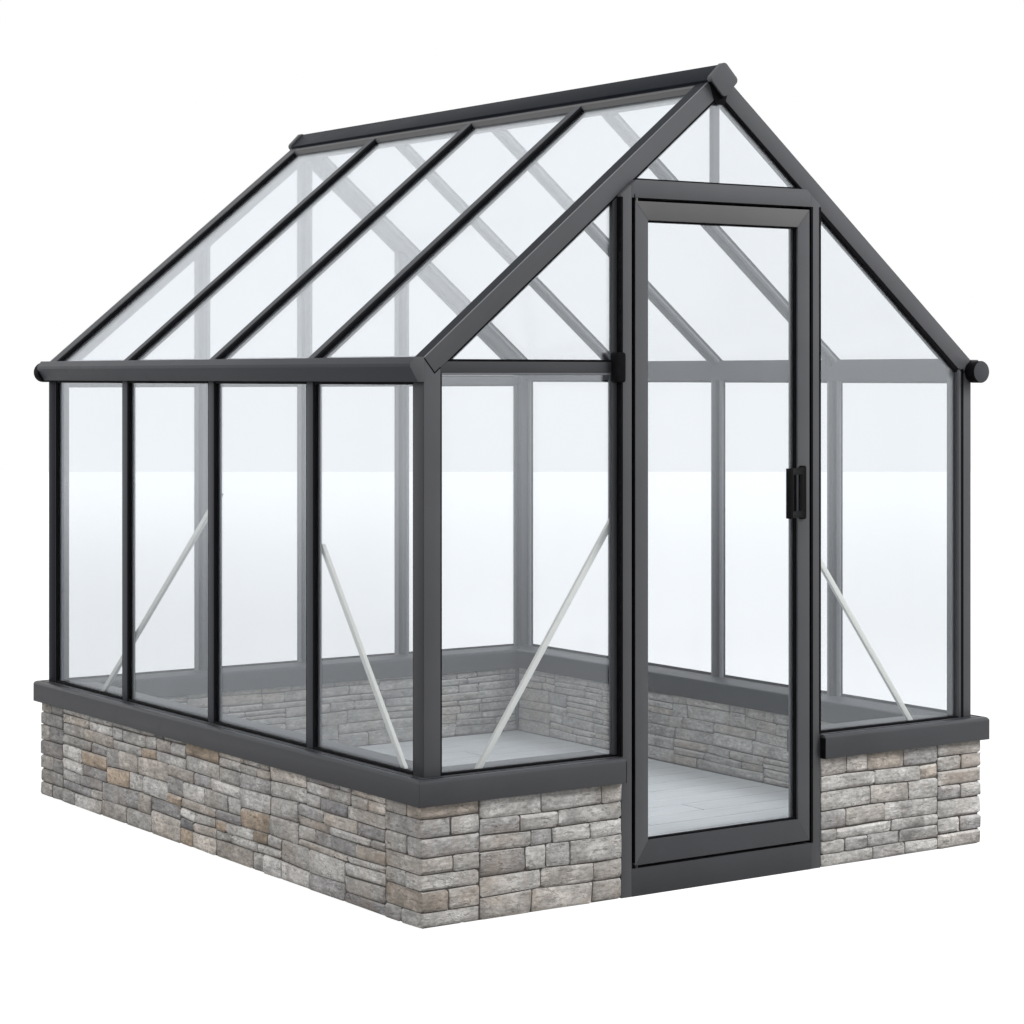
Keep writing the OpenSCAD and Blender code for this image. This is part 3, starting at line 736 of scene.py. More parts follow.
def back_wall():
    """The back wall: outer face between the corner piles, inner face between the side walls."""
    laid = lay_face(Vector((-WALL_X + QUOIN_LONG, WALL_Y, 0)), ALONG_X, ALONG_Y,
                    2 * (WALL_X - QUOIN_LONG), GROUND, FACE_TOP)
    laid += room_face(Vector((-ROOM_X, ROOM_Y, 0)), ALONG_X, -ALONG_Y, 2 * ROOM_X)
    core = ((-ROOM_X, ROOM_Y + CORE_BACK, 0), (ROOM_X, WALL_Y - CORE_BACK, MORTAR_TOP))
    stonework("stones_back", "wall_back", laid, core)


def front_wall(name, node, side):
    """A front wall beside the door: outer face, inner face and the end beside the doorway."""
    low = -WALL_X + QUOIN_LONG if side < 0 else DOOR_X
    laid = lay_face(Vector((low, -WALL_Y, 0)), ALONG_X, -ALONG_Y,
                    WALL_X - QUOIN_LONG - DOOR_X, GROUND, FACE_TOP)
    low = -ROOM_X if side < 0 else DOOR_X
    laid += lay_face(Vector((low, -ROOM_Y, 0)), ALONG_X, ALONG_Y, ROOM_X - DOOR_X, DECK_TOP, FACE_TOP)
    laid += lay_face(Vector((side * DOOR_X, POSTS_HIGH.y, 0)), ALONG_Y, ALONG_X * -side,
                     -ROOM_Y - POSTS_HIGH.y, DECK_TOP, FACE_TOP)
    left, right = sorted((side * (DOOR_X + CORE_BACK), side * ROOM_X))
    core = ((left, -WALL_Y + CORE_BACK, 0), (right, -ROOM_Y - CORE_BACK, MORTAR_TOP))
    stonework(name, node, laid, core)


long_wall("stones_left", "wall_left", -1)
long_wall("stones_right", "wall_right", 1)
back_wall()
front_wall("stones_front_left", "wall_front_left", -1)
front_wall("stones_front_right", "wall_front_right", 1)


# Floor: boards side by side along the front, on a bed
BOARD_W = 0.121
BOARD_GAP = 0.006
BOARD_T = 0.024
BOARD_EASE = 0.02
BOARD_UPPER = -0.1
BOARD_SPLIT = (-0.5, 0.5)
BOARD_LEAST = 0.01
BOARD_TONE = (0.79, 0.815, 0.83)
BOARD_PLAY = (0.96, 1.04)
FAR_LIGHT = 0.96
DOORWAY_PAINTED_LIGHT = 0.18
BED_DROP = 0.004
BED_R = 0.003


def model_board():
    """A board with eased upper edges, one unit long, wide and thick."""
    piece = add_block("board_unit", (-0.5, -0.5, -1), (0.5, 0.5, 0))
    edit_all(piece)
    pick_edges(piece, lambda a, b: min(a.z, b.z) > BOARD_UPPER)
    bpy.ops.mesh.bevel(offset=BOARD_EASE, segments=2)
    close_edit()
    return unit_mesh(piece)


def lay_boards():
    """Rows of two boards, cut at a random place across the room, with painted light that grows towards the
    door, and their bed.
    """
    points, faces = model_board()
    copies = []
    tones = []
    y = -ROOM_Y
    while y < ROOM_Y - BOARD_LEAST:
        wide = min(BOARD_W, ROOM_Y - y)
        split = dice.uniform(*BOARD_SPLIT) * ROOM_X
        for low, high in ((-ROOM_X, split), (split, ROOM_X)):
            size = np.array([high - low - BOARD_GAP, wide - BOARD_GAP, BOARD_T])
            copies.append(points * size + np.array([(low + high) / 2, y + wide / 2, DECK_TOP]))
            # Painted light: boards grow paler towards the doorway.
            light = dice.uniform(*BOARD_PLAY) * (FAR_LIGHT + DOORWAY_PAINTED_LIGHT * max(0.0, -y / ROOM_Y))
            tones.append([part * light for part in BOARD_TONE] + [dice.random()])
        y += wide
    boards = laid_mesh("floor_boards", copies, faces, tones, "board_tone")
    finish_piece(boards, "house", BOARD, ["floor_deck"])
    bed_top = (DECK_HIGH.x, DECK_HIGH.y, DECK_TOP - BED_DROP)
    rounded_block("floor_bed", "house", "deck", DECK_LOW, bed_top, BED_R, MORTAR)


lay_boards()


# Frame: every painted piece with its edges rounded
EDGE_R = 0.0014
BRACE_R = 0.0006
HANDLE_R = 0.002
# The first row is the frame's own paint. The other rows are that paint with painted shade on the threshold,
# the front rail, the left roof bars, the ridge, the caps, the gutters, the left side bars and the door's
# bottom rail, deeper on the right cap's faces towards the room, and with painted light on the door's top
# rail.
PAINTS = [
    ("house", PAINT, ["corner_posts_front", "corner_posts_back", "rafters_front", "rafters_back",
                      "door_posts", "door_lintel", "king_bar", "back_mullions", "back_rail",
                      "side_bars_right", "roof_bars_right", "ridge_end_blocks"]),
    ("house", SLATE, ["door_threshold", "front_rail"]),
    ("house", DEEP_PAINTED_SHADE, ["roof_bars_left", "ridge_beam"]),
    ("house", CAP_PAINTED_SHADE, ["cap_left", "cap_back", "cap_front_left", "cap_front_right"]),
    ("house", CAP_ROOM_SHADE_COAT, ["cap_right"]),
    ("house", BLUE_PAINTED_SHADE, ["eaves_gutter_left", "eaves_gutter_right", "side_bars_left"]),
    ("door", PAINT, ["door_stile_hinge", "door_stile_latch"]),
    ("door", PAINTED_LIGHT_COAT, ["door_top_rail"]),
    ("door", SLATE, ["door_bottom_rail"]),
]
BRACES = ["braces_left", "braces_front"]
PANES = ["glass_left", "glass_right", "glass_roof_left", "glass_roof_right", "glass_front", "glass_back"]

for body, paint, nodes in PAINTS:
    for node in nodes:
        finish_piece(soft_copy(node, EDGE_R), body, paint, [node])
for node in BRACES:
    finish_piece(soft_copy(node, BRACE_R), "house", ALUMINIUM, [node])
handle = finish_piece(soft_copy("door_handle", HANDLE_R), "door", BLACK, ["door_handle"])
handle.visible_glossy = False
finish_piece(soft_copy("gutter_outlets", EDGE_R), "house", RUBBER, ["gutter_outlets"])

for node in PANES + ["door_glass"]:
    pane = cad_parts[node]
    pane.data.materials.clear()
    pane.data.materials.append(DOOR_GLASS if node == "door_glass" else GLASS)


# Glazing seals: a rubber strip along each edge of each pane, and a pale bead inside
SEAL_W = 0.008
SEAL_H = 0.0105
DOOR_SEAL_W = 0.0055
GABLE_SEAL_W = 0.0065
RAFTER_SEAL_W = 0.013
POST_STRIP_W = 0.016
BEAD_W = 0.014
BEAD_H = 0.008
LEVEL = 0.02
NEAR = LEVEL / 4
STRIP_SLOPE = 0.35
STRIP_FREE = 0.9
DOOR_PANE_IN = 0.094
GLASS_LAP = 0.0082


def model_strip():
    """A strip one unit long, wide and high, with its free upper edge sloped off."""
    piece = add_block("strip_unit", (-0.5, 0, 0), (0.5, 1, 1))
    edit_all(piece)
    pick_edges(piece, lambda a, b: min(a.y, b.y, a.z, b.z) > STRIP_FREE)
    bpy.ops.mesh.bevel(offset=STRIP_SLOPE, segments=2)
    close_edit()
    return unit_mesh(piece)


STRIP_POINTS, STRIP_FACES = model_strip()


def strip_along(a, b, out, width, height, middle):
    """A strip's points along an edge of a pane, reaching towards the pane's middle."""
    run = (b - a).normalized()
    inward = out.cross(run)
    if inward.dot(middle - a) < 0:
        inward = -inward
    axes = np.array([run * (b - a).length, inward * width, out * height])
    return np.array((a + b) / 2) + STRIP_POINTS @ axes


def every_edge(a, b):
    """Passes all edges."""
    return True


def rising_edge(a, b):
    """Passes edges that aren't level."""
    return abs(a.z - b.z) > LEVEL


def right_rafter(a, b):
    """Passes the edge under the right front rafter, beside the door."""
    return rising_edge(a, b) and abs(a.x - b.x) > LEVEL and min(a.x, b.x) > 0


def door_post_edge(a, b):
    """Passes edges along the door posts."""
    return rising_edge(a, b) and max(abs(abs(a.x) - DOOR_X), abs(abs(b.x) - DOOR_X)) < NEAR


def right_post_edge(a, b):
    """Passes the edge along the right front post."""
    return rising_edge(a, b) and max(abs(a.x - POST_IN), abs(b.x - POST_IN)) < NEAR


def rail_underside(a, b):
    """Passes the edge under the front rail."""
    return max(abs(a.z - FRONT_RAIL_LOW.z), abs(b.z - FRONT_RAIL_LOW.z)) < NEAR


def plain_gable_edge(a, b):
    """Passes front edges that none of the four tests above passes."""
    return not any(test(a, b) for test in (right_rafter, door_post_edge, right_post_edge, rail_underside))


def pane_strips(outline, out, width, height, kept=every_edge):
    """Strips along the edges of a pane's outline that pass a test."""
    middle = sum(outline, Vector()) / len(outline)
    pairs = list(zip(outline, outline[1:] + outline[:1]))
    return [strip_along(a, b, out, width, height, middle) for a, b in pairs if kept(a, b)]


def upright_pane(x_low, x_high, z_low, z_high, y):
    """Outline of a gable pane under the rafters."""
    def top(x):
        return min(z_high, under_z(x))

    points = [(x_low, z_low), (x_high, z_low), (x_high, top(x_high))]
    ends = sorted(x for x in (-peak_x(z_high), peak_x(z_high), 0.0) if x_low < x < x_high)
    if z_high < under_z(x_low) and z_high < under_z(x_high):
        ends = []
    points += [(x, top(x)) for x in reversed(ends)]
    points.append((x_low, top(x_low)))
    return [Vector((x, y, z)) for x, z in points]


EAVES_UNDER = BARS_HIGH.z
POST_IN = FRAME_X - POST_W
TALL = 9.0


def side_edges(i):
    """A side bay's visible edges along the house."""
    low = -FRAME_Y + POST_W if i == 0 else bar_y(i) + BAR_FACE / 2
    high = FRAME_Y - POST_W if i == BAYS - 1 else bar_y(i + 1) - BAR_FACE / 2
    return low, high


def side_outlines(x):
    """Outlines of one side's panes."""
    outlines = []
    for i in range(BAYS):
        low, high = side_edges(i)
        outlines.append([Vector((x, low, SILL_Z)), Vector((x, high, SILL_Z)),
                         Vector((x, high, EAVES_UNDER)), Vector((x, low, EAVES_UNDER))])
    return outlines


def roof_point(side, x, y, depth):
    """A point of a roof slope at a depth below the roof plane."""
    z = EAVE_Z + (FRAME_X - x) * math.tan(PITCH) - depth / math.cos(PITCH)
    return Vector((side * x, y, z))


def roof_outlines(side, depth):
    """Outlines of one roof slope's panes at a depth below the roof plane."""
    outlines = []
    for i in range(BAYS):
        low, high = side_edges(i)
        corners = ((FRAME_X, low), (FRAME_X, high), (RIDGE_HIGH.x, high), (RIDGE_HIGH.x, low))
        outlines.append([roof_point(side, x, y, depth) for x, y in corners])
    return outlines


def front_outlines(y):
    """Outlines of the front panes: two left of the door, one right of it and one over it."""
    over = peak_x(LINTEL_HIGH.z)
    return [upright_pane(-POST_IN, -DOOR_X, SILL_Z, FRONT_RAIL_LOW.z, y),
            upright_pane(-POST_IN, -DOOR_X, FRONT_RAIL_HIGH.z, TALL, y),
            upright_pane(DOOR_X, POST_IN, SILL_Z, TALL, y),
            [Vector((-over, y, LINTEL_HIGH.z)), Vector((over, y, LINTEL_HIGH.z)), Vector((0, y, under_z(0)))]]


def back_outlines(y):
    """Outlines of the back panes, under and over the back rail."""
    half = BAR_FACE / 2
    side = MULLION_HIGH.x - half
    bays = ((-POST_IN, -side - half), (-side + half, -half), (half, side - half), (side + half, POST_IN))
    outlines = []
    for x_low, x_high in bays:
        outlines.append(upright_pane(x_low, x_high, SILL_Z, BACK_RAIL_LOW.z, y))
        outlines.append(upright_pane(x_low, x_high, BACK_RAIL_HIGH.z, TALL, y))
    return outlines


def doorway_corners(x, y, z_low, z_high):
    """Corners of an upright rectangle about the doorway's middle."""
    return [Vector((-x, y, z_low)), Vector((x, y, z_low)), Vector((x, y, z_high)), Vector((-x, y, z_high))]


def door_outlines(y):
    """Outline of the door's pane inside the leaf."""
    z_low = DOOR_GLASS_LOW.z + GLASS_LAP
    z_high = DOOR_GLASS_HIGH.z - GLASS_LAP
    return [doorway_corners(DOOR_X - DOOR_PANE_IN, y, z_low, z_high)]


def lay_strips(name, body, copies, material):
    """Strips joined in one piece, with its finish."""
    piece = laid_mesh(name, copies, STRIP_FACES)
    close_normals(piece)
    finish_piece(piece, body, material)


def seal(name, body, outlines, out, width=SEAL_W, kept=every_edge, material=RUBBER, height=SEAL_H):
    """Strips round panes, along the edges that pass a test."""
    copies = []
    for outline in outlines:
        copies += pane_strips(outline, out, width, height, kept)
    lay_strips(name, body, copies, material)


def bead(name, body, outlines, out):
    """Pale beads along the edges of panes that aren't level."""
    seal(name, body, outlines, out, BEAD_W, rising_edge, BEAD, BEAD_H)


GLASS_OUT = 0.0122
GLASS_IN = 0.0162
ROOF_OUT_LEFT = Vector((-math.sin(PITCH), 0, math.cos(PITCH)))
ROOF_OUT_RIGHT = Vector((math.sin(PITCH), 0, math.cos(PITCH)))
seal("seals_left", "house", side_outlines(-FRAME_X + GLASS_OUT), -ALONG_X)
seal("seals_right", "house", side_outlines(FRAME_X - GLASS_OUT), ALONG_X)
seal("seals_roof_left", "house", roof_outlines(-1, GLASS_OUT), ROOF_OUT_LEFT, kept=rising_edge)
seal("seals_roof_right", "house", roof_outlines(1, GLASS_OUT), ROOF_OUT_RIGHT, kept=rising_edge)
FRONT_PANES = front_outlines(-FRAME_Y + GLASS_OUT)
seal("seals_front", "house", FRONT_PANES, -ALONG_Y, GABLE_SEAL_W, plain_gable_edge)
# This seal runs wider than the rubber alone: partly real seal, partly painted shade on the rafter's reveal.
seal("seals_front_rafter", "house", FRONT_PANES, -ALONG_Y, RAFTER_SEAL_W, right_rafter)
seal("strips_beside_door", "house", FRONT_PANES, -ALONG_Y, POST_STRIP_W, door_post_edge, SLATE)
seal("strip_right_post", "house", FRONT_PANES, -ALONG_Y, GABLE_SEAL_W, right_post_edge, SLATE)
seal("bead_under_rail", "house", FRONT_PANES, -ALONG_Y, GABLE_SEAL_W, rail_underside, BEAD)
seal("seals_back", "house", back_outlines(FRAME_Y - GLASS_OUT), ALONG_Y, GABLE_SEAL_W)
seal("seals_door", "door", door_outlines(DOOR_GLASS_LOW.y), -ALONG_Y, DOOR_SEAL_W)
bead("beads_left", "house", side_outlines(-FRAME_X + GLASS_IN), ALONG_X)
bead("beads_right", "house", side_outlines(FRAME_X - GLASS_IN), -ALONG_X)
bead("beads_roof_left", "house", roof_outlines(-1, GLASS_IN), -ROOF_OUT_LEFT)
bead("beads_roof_right", "house", roof_outlines(1, GLASS_IN), -ROOF_OUT_RIGHT)
bead("beads_front", "house", front_outlines(-FRAME_Y + GLASS_IN), ALONG_Y)
bead("beads_back", "house", back_outlines(FRAME_Y - GLASS_IN), -ALONG_Y)
bead("beads_door", "door", door_outlines(DOOR_GLASS_HIGH.y), ALONG_Y)


# Door seal: rubber behind the leaf, on the posts, the lintel and the threshold
STOP_DEEP = 0.010
STOP_IN = 0.018


def door_stop():
    """Rubber that closes the gap round the door from behind."""
    corners = doorway_corners(LINTEL_HIGH.x, POSTS_HIGH.y - STOP_DEEP, DECK_TOP, LINTEL_LOW.z)
    copies = pane_strips(corners, ALONG_Y, STOP_IN, STOP_DEEP)
    lay_strips("door_stop_seal", "house", copies, RUBBER)


door_stop()


# Painted light and shade: strips on the upper faces of the gable rafters, the roof bars and the ridge's
# flange
COVER_T = 0.0012
COVER_EDGE = 0.007
COVER_TOP_X = 0.047
COVER_FOOT_X = FRAME_X - 0.002
BAR_COVER_IN = 0.002
BAR_COVER_W = 0.032
FLANGE_W = 0.015
FLANGE_T = 0.012 / math.cos(PITCH)


def slope_strip(side, low_x, high_x, y, width, to_middle):
    """A strip up a roof slope, lying on its plane and reaching along the house."""
    out = ROOF_OUT_LEFT if side < 0 else ROOF_OUT_RIGHT
    low = roof_point(side, low_x, y, 0)
    high = roof_point(side, high_x, y, 0)
    return strip_along(low, high, out, width, COVER_T, low + to_middle)


def rafter_painted_shade(name, end, material):
    """Painted shade on one gable's rafters' upper faces, with painted highlights along their edges."""
    wide = []
    pale = []
    inward = ALONG_Y * -end
    for side in (-1, 1):
        wide.append(slope_strip(side, COVER_FOOT_X, COVER_TOP_X, end * (FRAME_Y - COVER_EDGE),
                                POST_W - COVER_EDGE, inward))
        pale.append(slope_strip(side, COVER_FOOT_X, COVER_TOP_X, end * FRAME_Y, COVER_EDGE, inward))
    lay_strips("rafter_painted_shade_" + name, "house", wide, material)
    lay_strips("rafter_painted_highlights_" + name, "house", pale, BEAD)


def bar_painted_light():
    """Painted light: a lighter strip along each roof bar's face."""
    strips = []
    for side in (-1, 1):
        for i in range(1, BAYS):
            far = bar_y(i) + BAR_FACE / 2 - BAR_COVER_IN
            strips.append(slope_strip(side, COVER_FOOT_X, RIDGE_HIGH.x, far, BAR_COVER_W, -ALONG_Y))
    lay_strips("roof_bar_painted_light", "house", strips, BLUE_PAINTED_SHADE)


def flange_painted_highlights():
    """Painted highlights: pale strips on the ridge flange's slopes and upright edges."""
    strips = []
    end = FRAME_Y - POST_W
    for side, out in ((-1, ROOF_OUT_LEFT), (1, ROOF_OUT_RIGHT)):
        low = roof_point(side, RIDGE_HIGH.x, -end, 0)
        high = roof_point(side, RIDGE_HIGH.x, end, 0)
        strips.append(strip_along(low, high, out, FLANGE_W, COVER_T, Vector((0, 0, RIDGE_HIGH.z))))
        strips.append(strip_along(low, high, ALONG_X * side, FLANGE_T, COVER_T, low - UP))
    lay_strips("ridge_flange_painted_highlights", "house", strips, PAINTED_LIGHT_COAT)


rafter_painted_shade("front", -1, DEEP_PAINTED_SHADE)
rafter_painted_shade("back", 1, BLUE_PAINTED_SHADE)
bar_painted_light()
flange_painted_highlights()


# Cap lines: a narrow dark joint along the caps' upper faces, outside the frame
CAP_LINE_W = 0.003
CAP_LINE_T = 0.0006
CAP_LINE_IN = 0.019


def cap_lines():
    """A joint along each cap, broken at the doorway."""
    x = -CAP_LOW.x - CAP_LINE_IN
    y = -CAP_LOW.y - CAP_LINE_IN
    z = CAP_HIGH.z
    middle = Vector((0, 0, z))
    runs = [((-x, -y), (-x, y)), ((-x, y), (x, y)), ((x, y), (x, -y)),
            ((-x, -y), (-DOOR_X, -y)), ((DOOR_X, -y), (x, -y))]
    strips = []
    for a, b in runs:
        strips.append(strip_along(Vector((*a, z)), Vector((*b, z)), UP, CAP_LINE_W, CAP_LINE_T, middle))
    lay_strips("cap_lines", "house", strips, RUBBER)


cap_lines()


# Door gaskets: thin rubber on the posts' inner and outer edges and on the leaf's hinge edge; their black is
# partly the rubber and partly painted shade in the gaps round the door
GASKET_T = 0.0012
GASKET_LIP = 0.007
GASKET_OUTER_LIP = 0.005
GASKET_R = 0.0003
LEAF_GASKET_IN = 0.002
LEAF_GASKET_FOOT = 0.016
LEAF_GASKET_HEAD = 0.004
POST_GASKET_BACK = 0.002
POST_GASKET_FOOT = 0.001
POST_GASKET_HEAD = 0.006


def gasket(name, body, low, high):
    """A thin rubber strip between two corners."""
    rounded_block(name, body, "frame_paint", low, high, GASKET_R, RUBBER)


gasket("gasket_latch_post", "house", (LINTEL_HIGH.x - GASKET_T, POSTS_LOW.y - GASKET_T, DECK_TOP),
       (LINTEL_HIGH.x + GASKET_LIP, POSTS_HIGH.y - STOP_DEEP, LINTEL_LOW.z))
gasket("gasket_hinge_edge", "door",
       (LEAF_LOW.x - GASKET_T, LEAF_LOW.y + LEAF_GASKET_IN, DECK_TOP + LEAF_GASKET_FOOT),
       (LEAF_LOW.x, LEAF_HIGH.y - LEAF_GASKET_IN, LEAF_HIGH.z - LEAF_GASKET_HEAD))
for gasket_name, gasket_side in (("gasket_post_left", -1), ("gasket_post_right", 1)):
    left, right = sorted((gasket_side * (DOOR_X + GASKET_T), gasket_side * (DOOR_X - GASKET_OUTER_LIP)))
    gasket(gasket_name, "house", (left, POSTS_LOW.y - GASKET_T, CAP_HIGH.z + POST_GASKET_FOOT),
           (right, -FRAME_Y + POST_GASKET_BACK, under_z(DOOR_X) - POST_GASKET_HEAD))


# Small fittings: black sheets of painted shade on the caps' ends and at the apex, corner trims, end plates,
# outlet discs, joints, painted shade on the posts' sides and a cleat
END_SHADE_T = 0.0015
END_SHADE_R = 0.0003
END_SHADE_DROP = 0.010
CLEAT_LOW = (-0.402, -FRAME_Y - 0.024, FRONT_RAIL_LOW.z - 0.028)
CLEAT_HIGH = (-0.365, -FRAME_Y + 0.010, FRONT_RAIL_HIGH.z + 0.028)
CLEAT_R = 0.008
TRIM_W = 0.013
TRIM_R = 0.002
TRIM_LAP = 0.01
PLATE_SPARE = 0.005
PLATE_R = 0.0004
GUTTER_TOP = EAVE_Z + 0.004
GUTTER_PROFILE = [(0, -0.068), (0.020, -0.068), (0.045, -0.027), (0.045, -0.018), (0.030, 0), (0, 0)]
DISC_SIDES = 48
DISC_IN = 0.0012
DISC_T = 0.002
DISC_PROUD = 0.0005
DISC_R = 0.0008
# Outlines of the black plates of painted shade at the apex.
GUSSET = [(-0.040, 0.034), (-0.018, -0.024), (0.016, -0.024), (0.026, 0.010), (0.0, 0.050)]
GUSSET_OUT = 0.003
GUSSET_IN = 0.002
SPACER = [(-0.047, -0.0095), (0, -0.0565), (0.047, -0.0095)]
SPACER_OUT = 0.016
FOOT_LINE_W = 0.003
POST_JOINT_IN = 0.010
POST_JOINT_W = 0.011
POST_COVER_OUTER = 0.002
POST_COVER_INNER = 0.001
CORNERS = (("front_left", -1, -1), ("front_right", 1, -1), ("back_left", -1, 1), ("back_right", 1, 1))


def cap_end_shade(name, side):
    """Painted shade: a black sheet over the part of a cap's end that stands before the door post."""
    left, right = sorted((side * DOOR_X, side * (DOOR_X - END_SHADE_T)))
    rounded_block(name, "house", "frame_paint", (left, CAP_LOW.y, CAP_LOW.z),
                  (right, POSTS_LOW.y, CAP_HIGH.z - END_SHADE_DROP), END_SHADE_R, RUBBER)


def corner_trim(name, side, end):
    """A painted strip up an inner corner of the wall."""
    left, right = sorted((side * ROOM_X, side * (ROOM_X - TRIM_W)))
    front, back = sorted((end * ROOM_Y, end * (ROOM_Y - TRIM_W)))
    rounded_block(name, "house", "frame_paint", (left, front, DECK_TOP),
                  (right, back, STONE_TOP + TRIM_LAP), TRIM_R, SLATE)


def plate(name, outline, y_low, y_high, material):
    """A flat plate cut to a convex outline across the front."""
    xs = [x for x, z in outline]
    zs = [z for x, z in outline]
    piece = add_block(name, (min(xs) - PLATE_SPARE, y_low, min(zs) - PLATE_SPARE),
                      (max(xs) + PLATE_SPARE, y_high, max(zs) + PLATE_SPARE))
    edit_all(piece)
    for (ax, az), (bx, bz) in zip(outline, outline[1:] + outline[:1]):
        bpy.ops.mesh.select_all(action="SELECT")
        outward = Vector((bz - az, 0, ax - bx)).normalized()
        bpy.ops.mesh.bisect(plane_co=(ax, 0, az), plane_no=outward, use_fill=True, clear_outer=True)
    close_edit()
    round_edges(piece, PLATE_R)
    finish_piece(piece, "house", material)


def gutter_end(name, side, end):
    """A painted plate over a gutter's end, in line with the corner post."""
    outline = [(side * (FRAME_X + x), GUTTER_TOP + z) for x, z in GUTTER_PROFILE]
    if side < 0:
        outline.reverse()
    front, back = sorted((end * FRAME_Y, end * (FRAME_Y + COVER_T)))
    plate(name, outline, front, back, PAINT)


def outlet_disc(name, turn):
    """A painted disc on the end of a gutter's round outlet; the back one is the front one turned round."""
    low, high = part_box("gutter_outlets")
    radius = (high.z - low.z) / 2
    x = turn * (high.x - radius)
    y = turn * (low.y - DISC_PROUD)
    bpy.ops.object.select_all(action="DESELECT")
    bpy.ops.mesh.primitive_cylinder_add(vertices=DISC_SIDES, radius=radius - DISC_IN, depth=DISC_T,
                                        location=(x, y, high.z - radius), rotation=(math.pi / 2, 0, 0))
    disc = bpy.context.object
    disc.name = disc.data.name = name
    bpy.ops.object.transform_apply(location=True, rotation=True, scale=True)
    round_edges(disc, DISC_R)
    finish_piece(disc, "house", SLATE)


def apex_painted_shade():
    """Painted shade at the front apex: black plates over the rafters' joint, and round the end block's lower
    half.
    """
    low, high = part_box("ridge_end_blocks")
    outline = [(x, low.z + z) for x, z in GUSSET]
    plate("apex_painted_shade", outline, -FRAME_Y - GUSSET_OUT, -FRAME_Y + GUSSET_IN, RUBBER)
    middle = (low.z + high.z) / 2
    outline = [(x, middle + z) for x, z in SPACER]
    plate("apex_block_painted_shade", outline, -FRAME_Y - SPACER_OUT, -FRAME_Y, RUBBER)


def foot_joints():
    """Dark joints round the front and back rafters' square-cut feet."""
    strips = []
    lift = math.radians(90) - PITCH
    for side in (-1, 1):
        for end in (-1, 1):
            out = ALONG_Y * end
            y = end * FRAME_Y
            top = Vector((side * FRAME_X, y, EAVE_Z))
            foot = top + POST_W * Vector((-side * math.cos(lift), 0, -math.sin(lift)))
            inner = Vector((side * POST_IN, y, under_z(POST_IN)))
            middle = top + Vector((-side * POST_W, 0, 0))
            strips.append(strip_along(top, foot, out, FOOT_LINE_W, COVER_T / 2, middle))
            strips.append(strip_along(foot, inner, out, FOOT_LINE_W, COVER_T / 2, middle))
    lay_strips("rafter_foot_joints", "house", strips, RUBBER)


def post_joint():
    """A black joint up the right front post's face."""
    low = Vector((POST_IN + POST_JOINT_IN, -FRAME_Y, SILL_Z))
    high = Vector((POST_IN + POST_JOINT_IN, -FRAME_Y, under_z(POST_IN)))
    strip = strip_along(low, high, -ALONG_Y, POST_JOINT_W, COVER_T / 2, low + ALONG_X)
    lay_strips("post_joint_right", "house", [strip], RUBBER)


def post_side(name, side, end):
    """Painted shade: a darker sheet on a corner post's outer side."""
    left, right = sorted((side * FRAME_X, side * (FRAME_X + COVER_T)))
    front, back = sorted((end * (FRAME_Y - POST_COVER_OUTER), end * (FRAME_Y - POST_W + POST_COVER_INNER)))
    rounded_block(name, "house", "frame_paint", (left, front, SILL_Z), (right, back, EAVES_UNDER),
                  PLATE_R, SLATE if end < 0 else DEEP_PAINTED_SHADE)


post_joint()
foot_joints()
for corner, corner_side, corner_end in CORNERS:
    gutter_end("gutter_end_" + corner, corner_side, corner_end)
    post_side("post_side_" + corner, corner_side, corner_end)
outlet_disc("outlet_disc_front", 1)
outlet_disc("outlet_disc_back", -1)
apex_painted_shade()
cap_end_shade("cap_end_shade_left", -1)
cap_end_shade("cap_end_shade_right", 1)
rounded_block("rail_cleat", "house", "frame_paint", CLEAT_LOW, CLEAT_HIGH, CLEAT_R, RUBBER, segments=3)
for corner, corner_side, corner_end in CORNERS:
    corner_trim("trim_" + corner, corner_side, corner_end)


# Camera at the photograph's place, level, with its view shifted down
CAMERA_AT = (-4.5174, -6.7411, 1.4982)
CAMERA_YAW = 34.4835
CAMERA_LENS = 84.03
CAMERA_SENSOR = 36
CAMERA_SHIFT = -0.1329


def set_camera():
    """The camera that the picture is taken with."""
    bpy.ops.object.camera_add(location=CAMERA_AT, rotation=(math.pi / 2, 0, -math.radians(CAMERA_YAW)))
    camera = bpy.context.object
    camera.data.lens = CAMERA_LENS
    camera.data.sensor_width = CAMERA_SENSOR
    camera.data.shift_y = CAMERA_SHIFT
    bpy.context.scene.camera = camera


# Light: a white room, with a broad key lamp at the front right and a fill from the left
AMBIENT = 0.50
SKY_SHEEN = 0.97
KEY = 310
KEY_AT = Vector((3.2, -4.8, 4.8))
KEY_WIDE = 3.0
KEY_AIM = Vector((0, -1.2, 1.2))
FILL = 0.62
FILL_FROM = Vector((-0.85, -0.15, 0.50))
LAMP_SOFT = 40
LAMP_AWAY = 6
FLOOR_SIZE = 58.4
FLOOR_TONE = 0.30
FLOOR_GLOW = 0.90
FLOOR_DIM = 0.36
FLOOR_NEAR = 5.0
FLOOR_FAR = 26.0


def ray_kinds(s, *kinds):
    """One for rays of the kinds named, and nothing for others."""
    path = s.tree.nodes.new("ShaderNodeLightPath")
    total = sum(Shade(s.tree, path.outputs[kind]) for kind in kinds)
    return s.math("MINIMUM", total, 1.0)


def soft_lamp(energy, source):
    """A soft light from one direction."""
    turn = (-source).to_track_quat("-Z", "Y").to_euler()
    bpy.ops.object.light_add(type="SUN", location=source * LAMP_AWAY, rotation=turn)
    lamp = bpy.context.object
    lamp.data.energy = energy
    lamp.data.angle = math.radians(LAMP_SOFT)


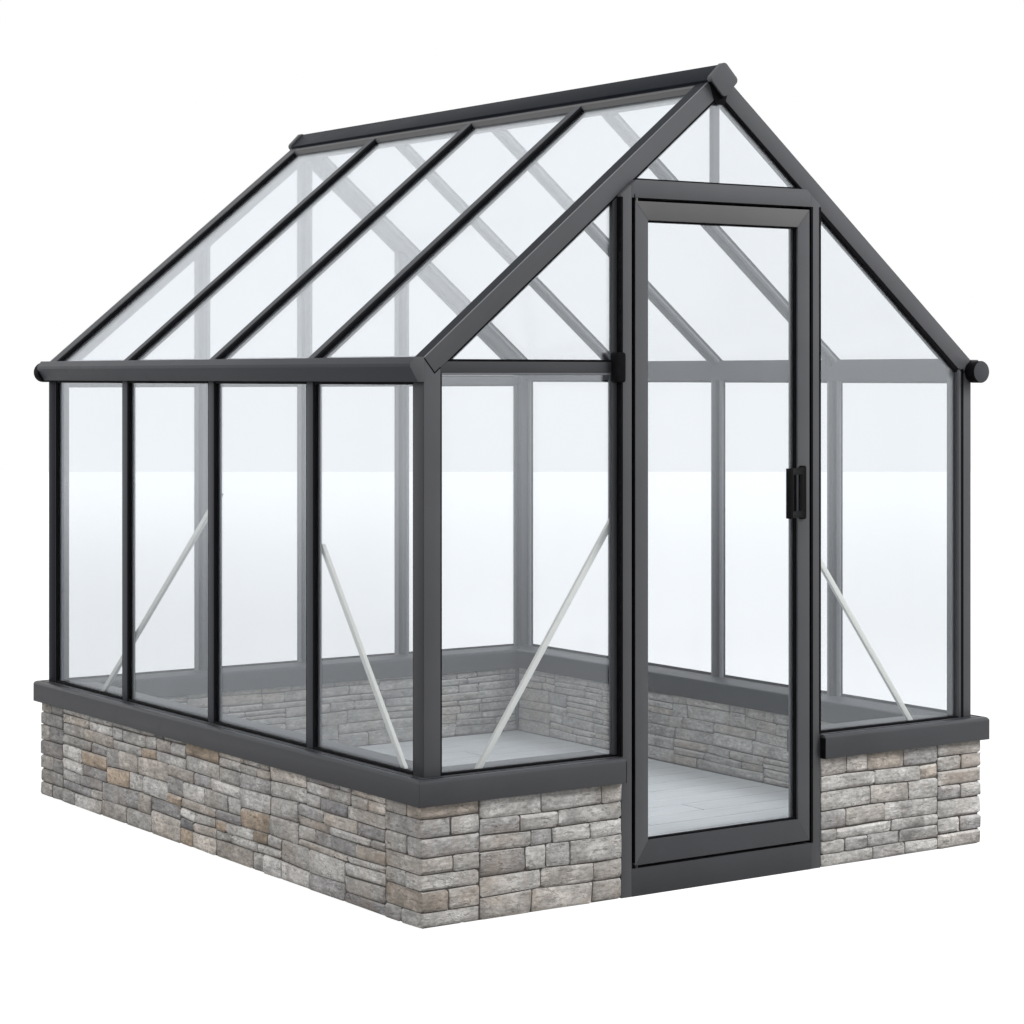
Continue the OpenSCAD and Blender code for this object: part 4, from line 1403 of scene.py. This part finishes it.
def broad_lamp(energy, place, aim, wide):
    """A broad square lamp that glossy surfaces don't mirror."""
    turn = (aim - place).to_track_quat("-Z", "Y").to_euler()
    bpy.ops.object.light_add(type="AREA", location=place, rotation=turn)
    lamp = bpy.context.object
    lamp.data.energy = energy
    lamp.data.size = wide
    lamp.visible_glossy = False


def set_light():
    """The white room and its two lamps."""
    world = bpy.data.worlds.new("white_room")
    world.use_nodes = True
    world.node_tree.nodes.clear()
    s = Shade(world.node_tree)
    seen = ray_kinds(s, "Is Camera Ray", "Is Glossy Ray", "Is Transmission Ray")
    strength = seen * (1 - AMBIENT) + AMBIENT - ray_kinds(s, "Is Glossy Ray") * (1 - SKY_SHEEN)
    room = s.add("ShaderNodeBackground", None, {0: colour(1, 1, 1), 1: strength})
    s.add_output("ShaderNodeOutputWorld", room)
    bpy.context.scene.world = world
    broad_lamp(KEY, KEY_AT, KEY_AIM, KEY_WIDE)
    soft_lamp(FILL, FILL_FROM)


def set_floor():
    """A wide pale floor that shows white where no shadow falls."""
    bpy.ops.object.select_all(action="DESELECT")
    bpy.ops.mesh.primitive_plane_add(size=FLOOR_SIZE, rotation=(0, 0, -math.radians(CAMERA_YAW)))
    ground = bpy.context.object
    bpy.ops.object.transform_apply(location=True, rotation=True, scale=True)
    ground.name = "studio_floor"
    made, s = start_material("studio_floor")
    away = s.add("ShaderNodeVectorMath", {"operation": "LENGTH"}, {0: s.place()}, out="Value")
    direct = ray_kinds(s, "Is Camera Ray", "Is Transmission Ray")
    mirrored = ray_kinds(s, "Is Glossy Ray")
    # The glow is lower near the house than far off: painted shade round the house, strongest in what glossy
    # surfaces mirror.
    seen = direct * away.between(FLOOR_NEAR, FLOOR_FAR, FLOOR_GLOW, 1.0)
    seen = seen + mirrored * away.between(FLOOR_NEAR, FLOOR_FAR, FLOOR_DIM, FLOOR_GLOW)
    glow = s.add("ShaderNodeEmission", None, {0: colour(1, 1, 1), 1: seen})
    matt = s.add("ShaderNodeBsdfDiffuse", None, {0: colour(FLOOR_TONE, FLOOR_TONE, FLOOR_TONE)})
    s.surface(s.add("ShaderNodeAddShader", None, {0: glow, 1: matt}))
    ground.data.materials.append(made)


set_camera()
set_light()
set_floor()
bpy.context.scene.view_settings.view_transform = "Standard"
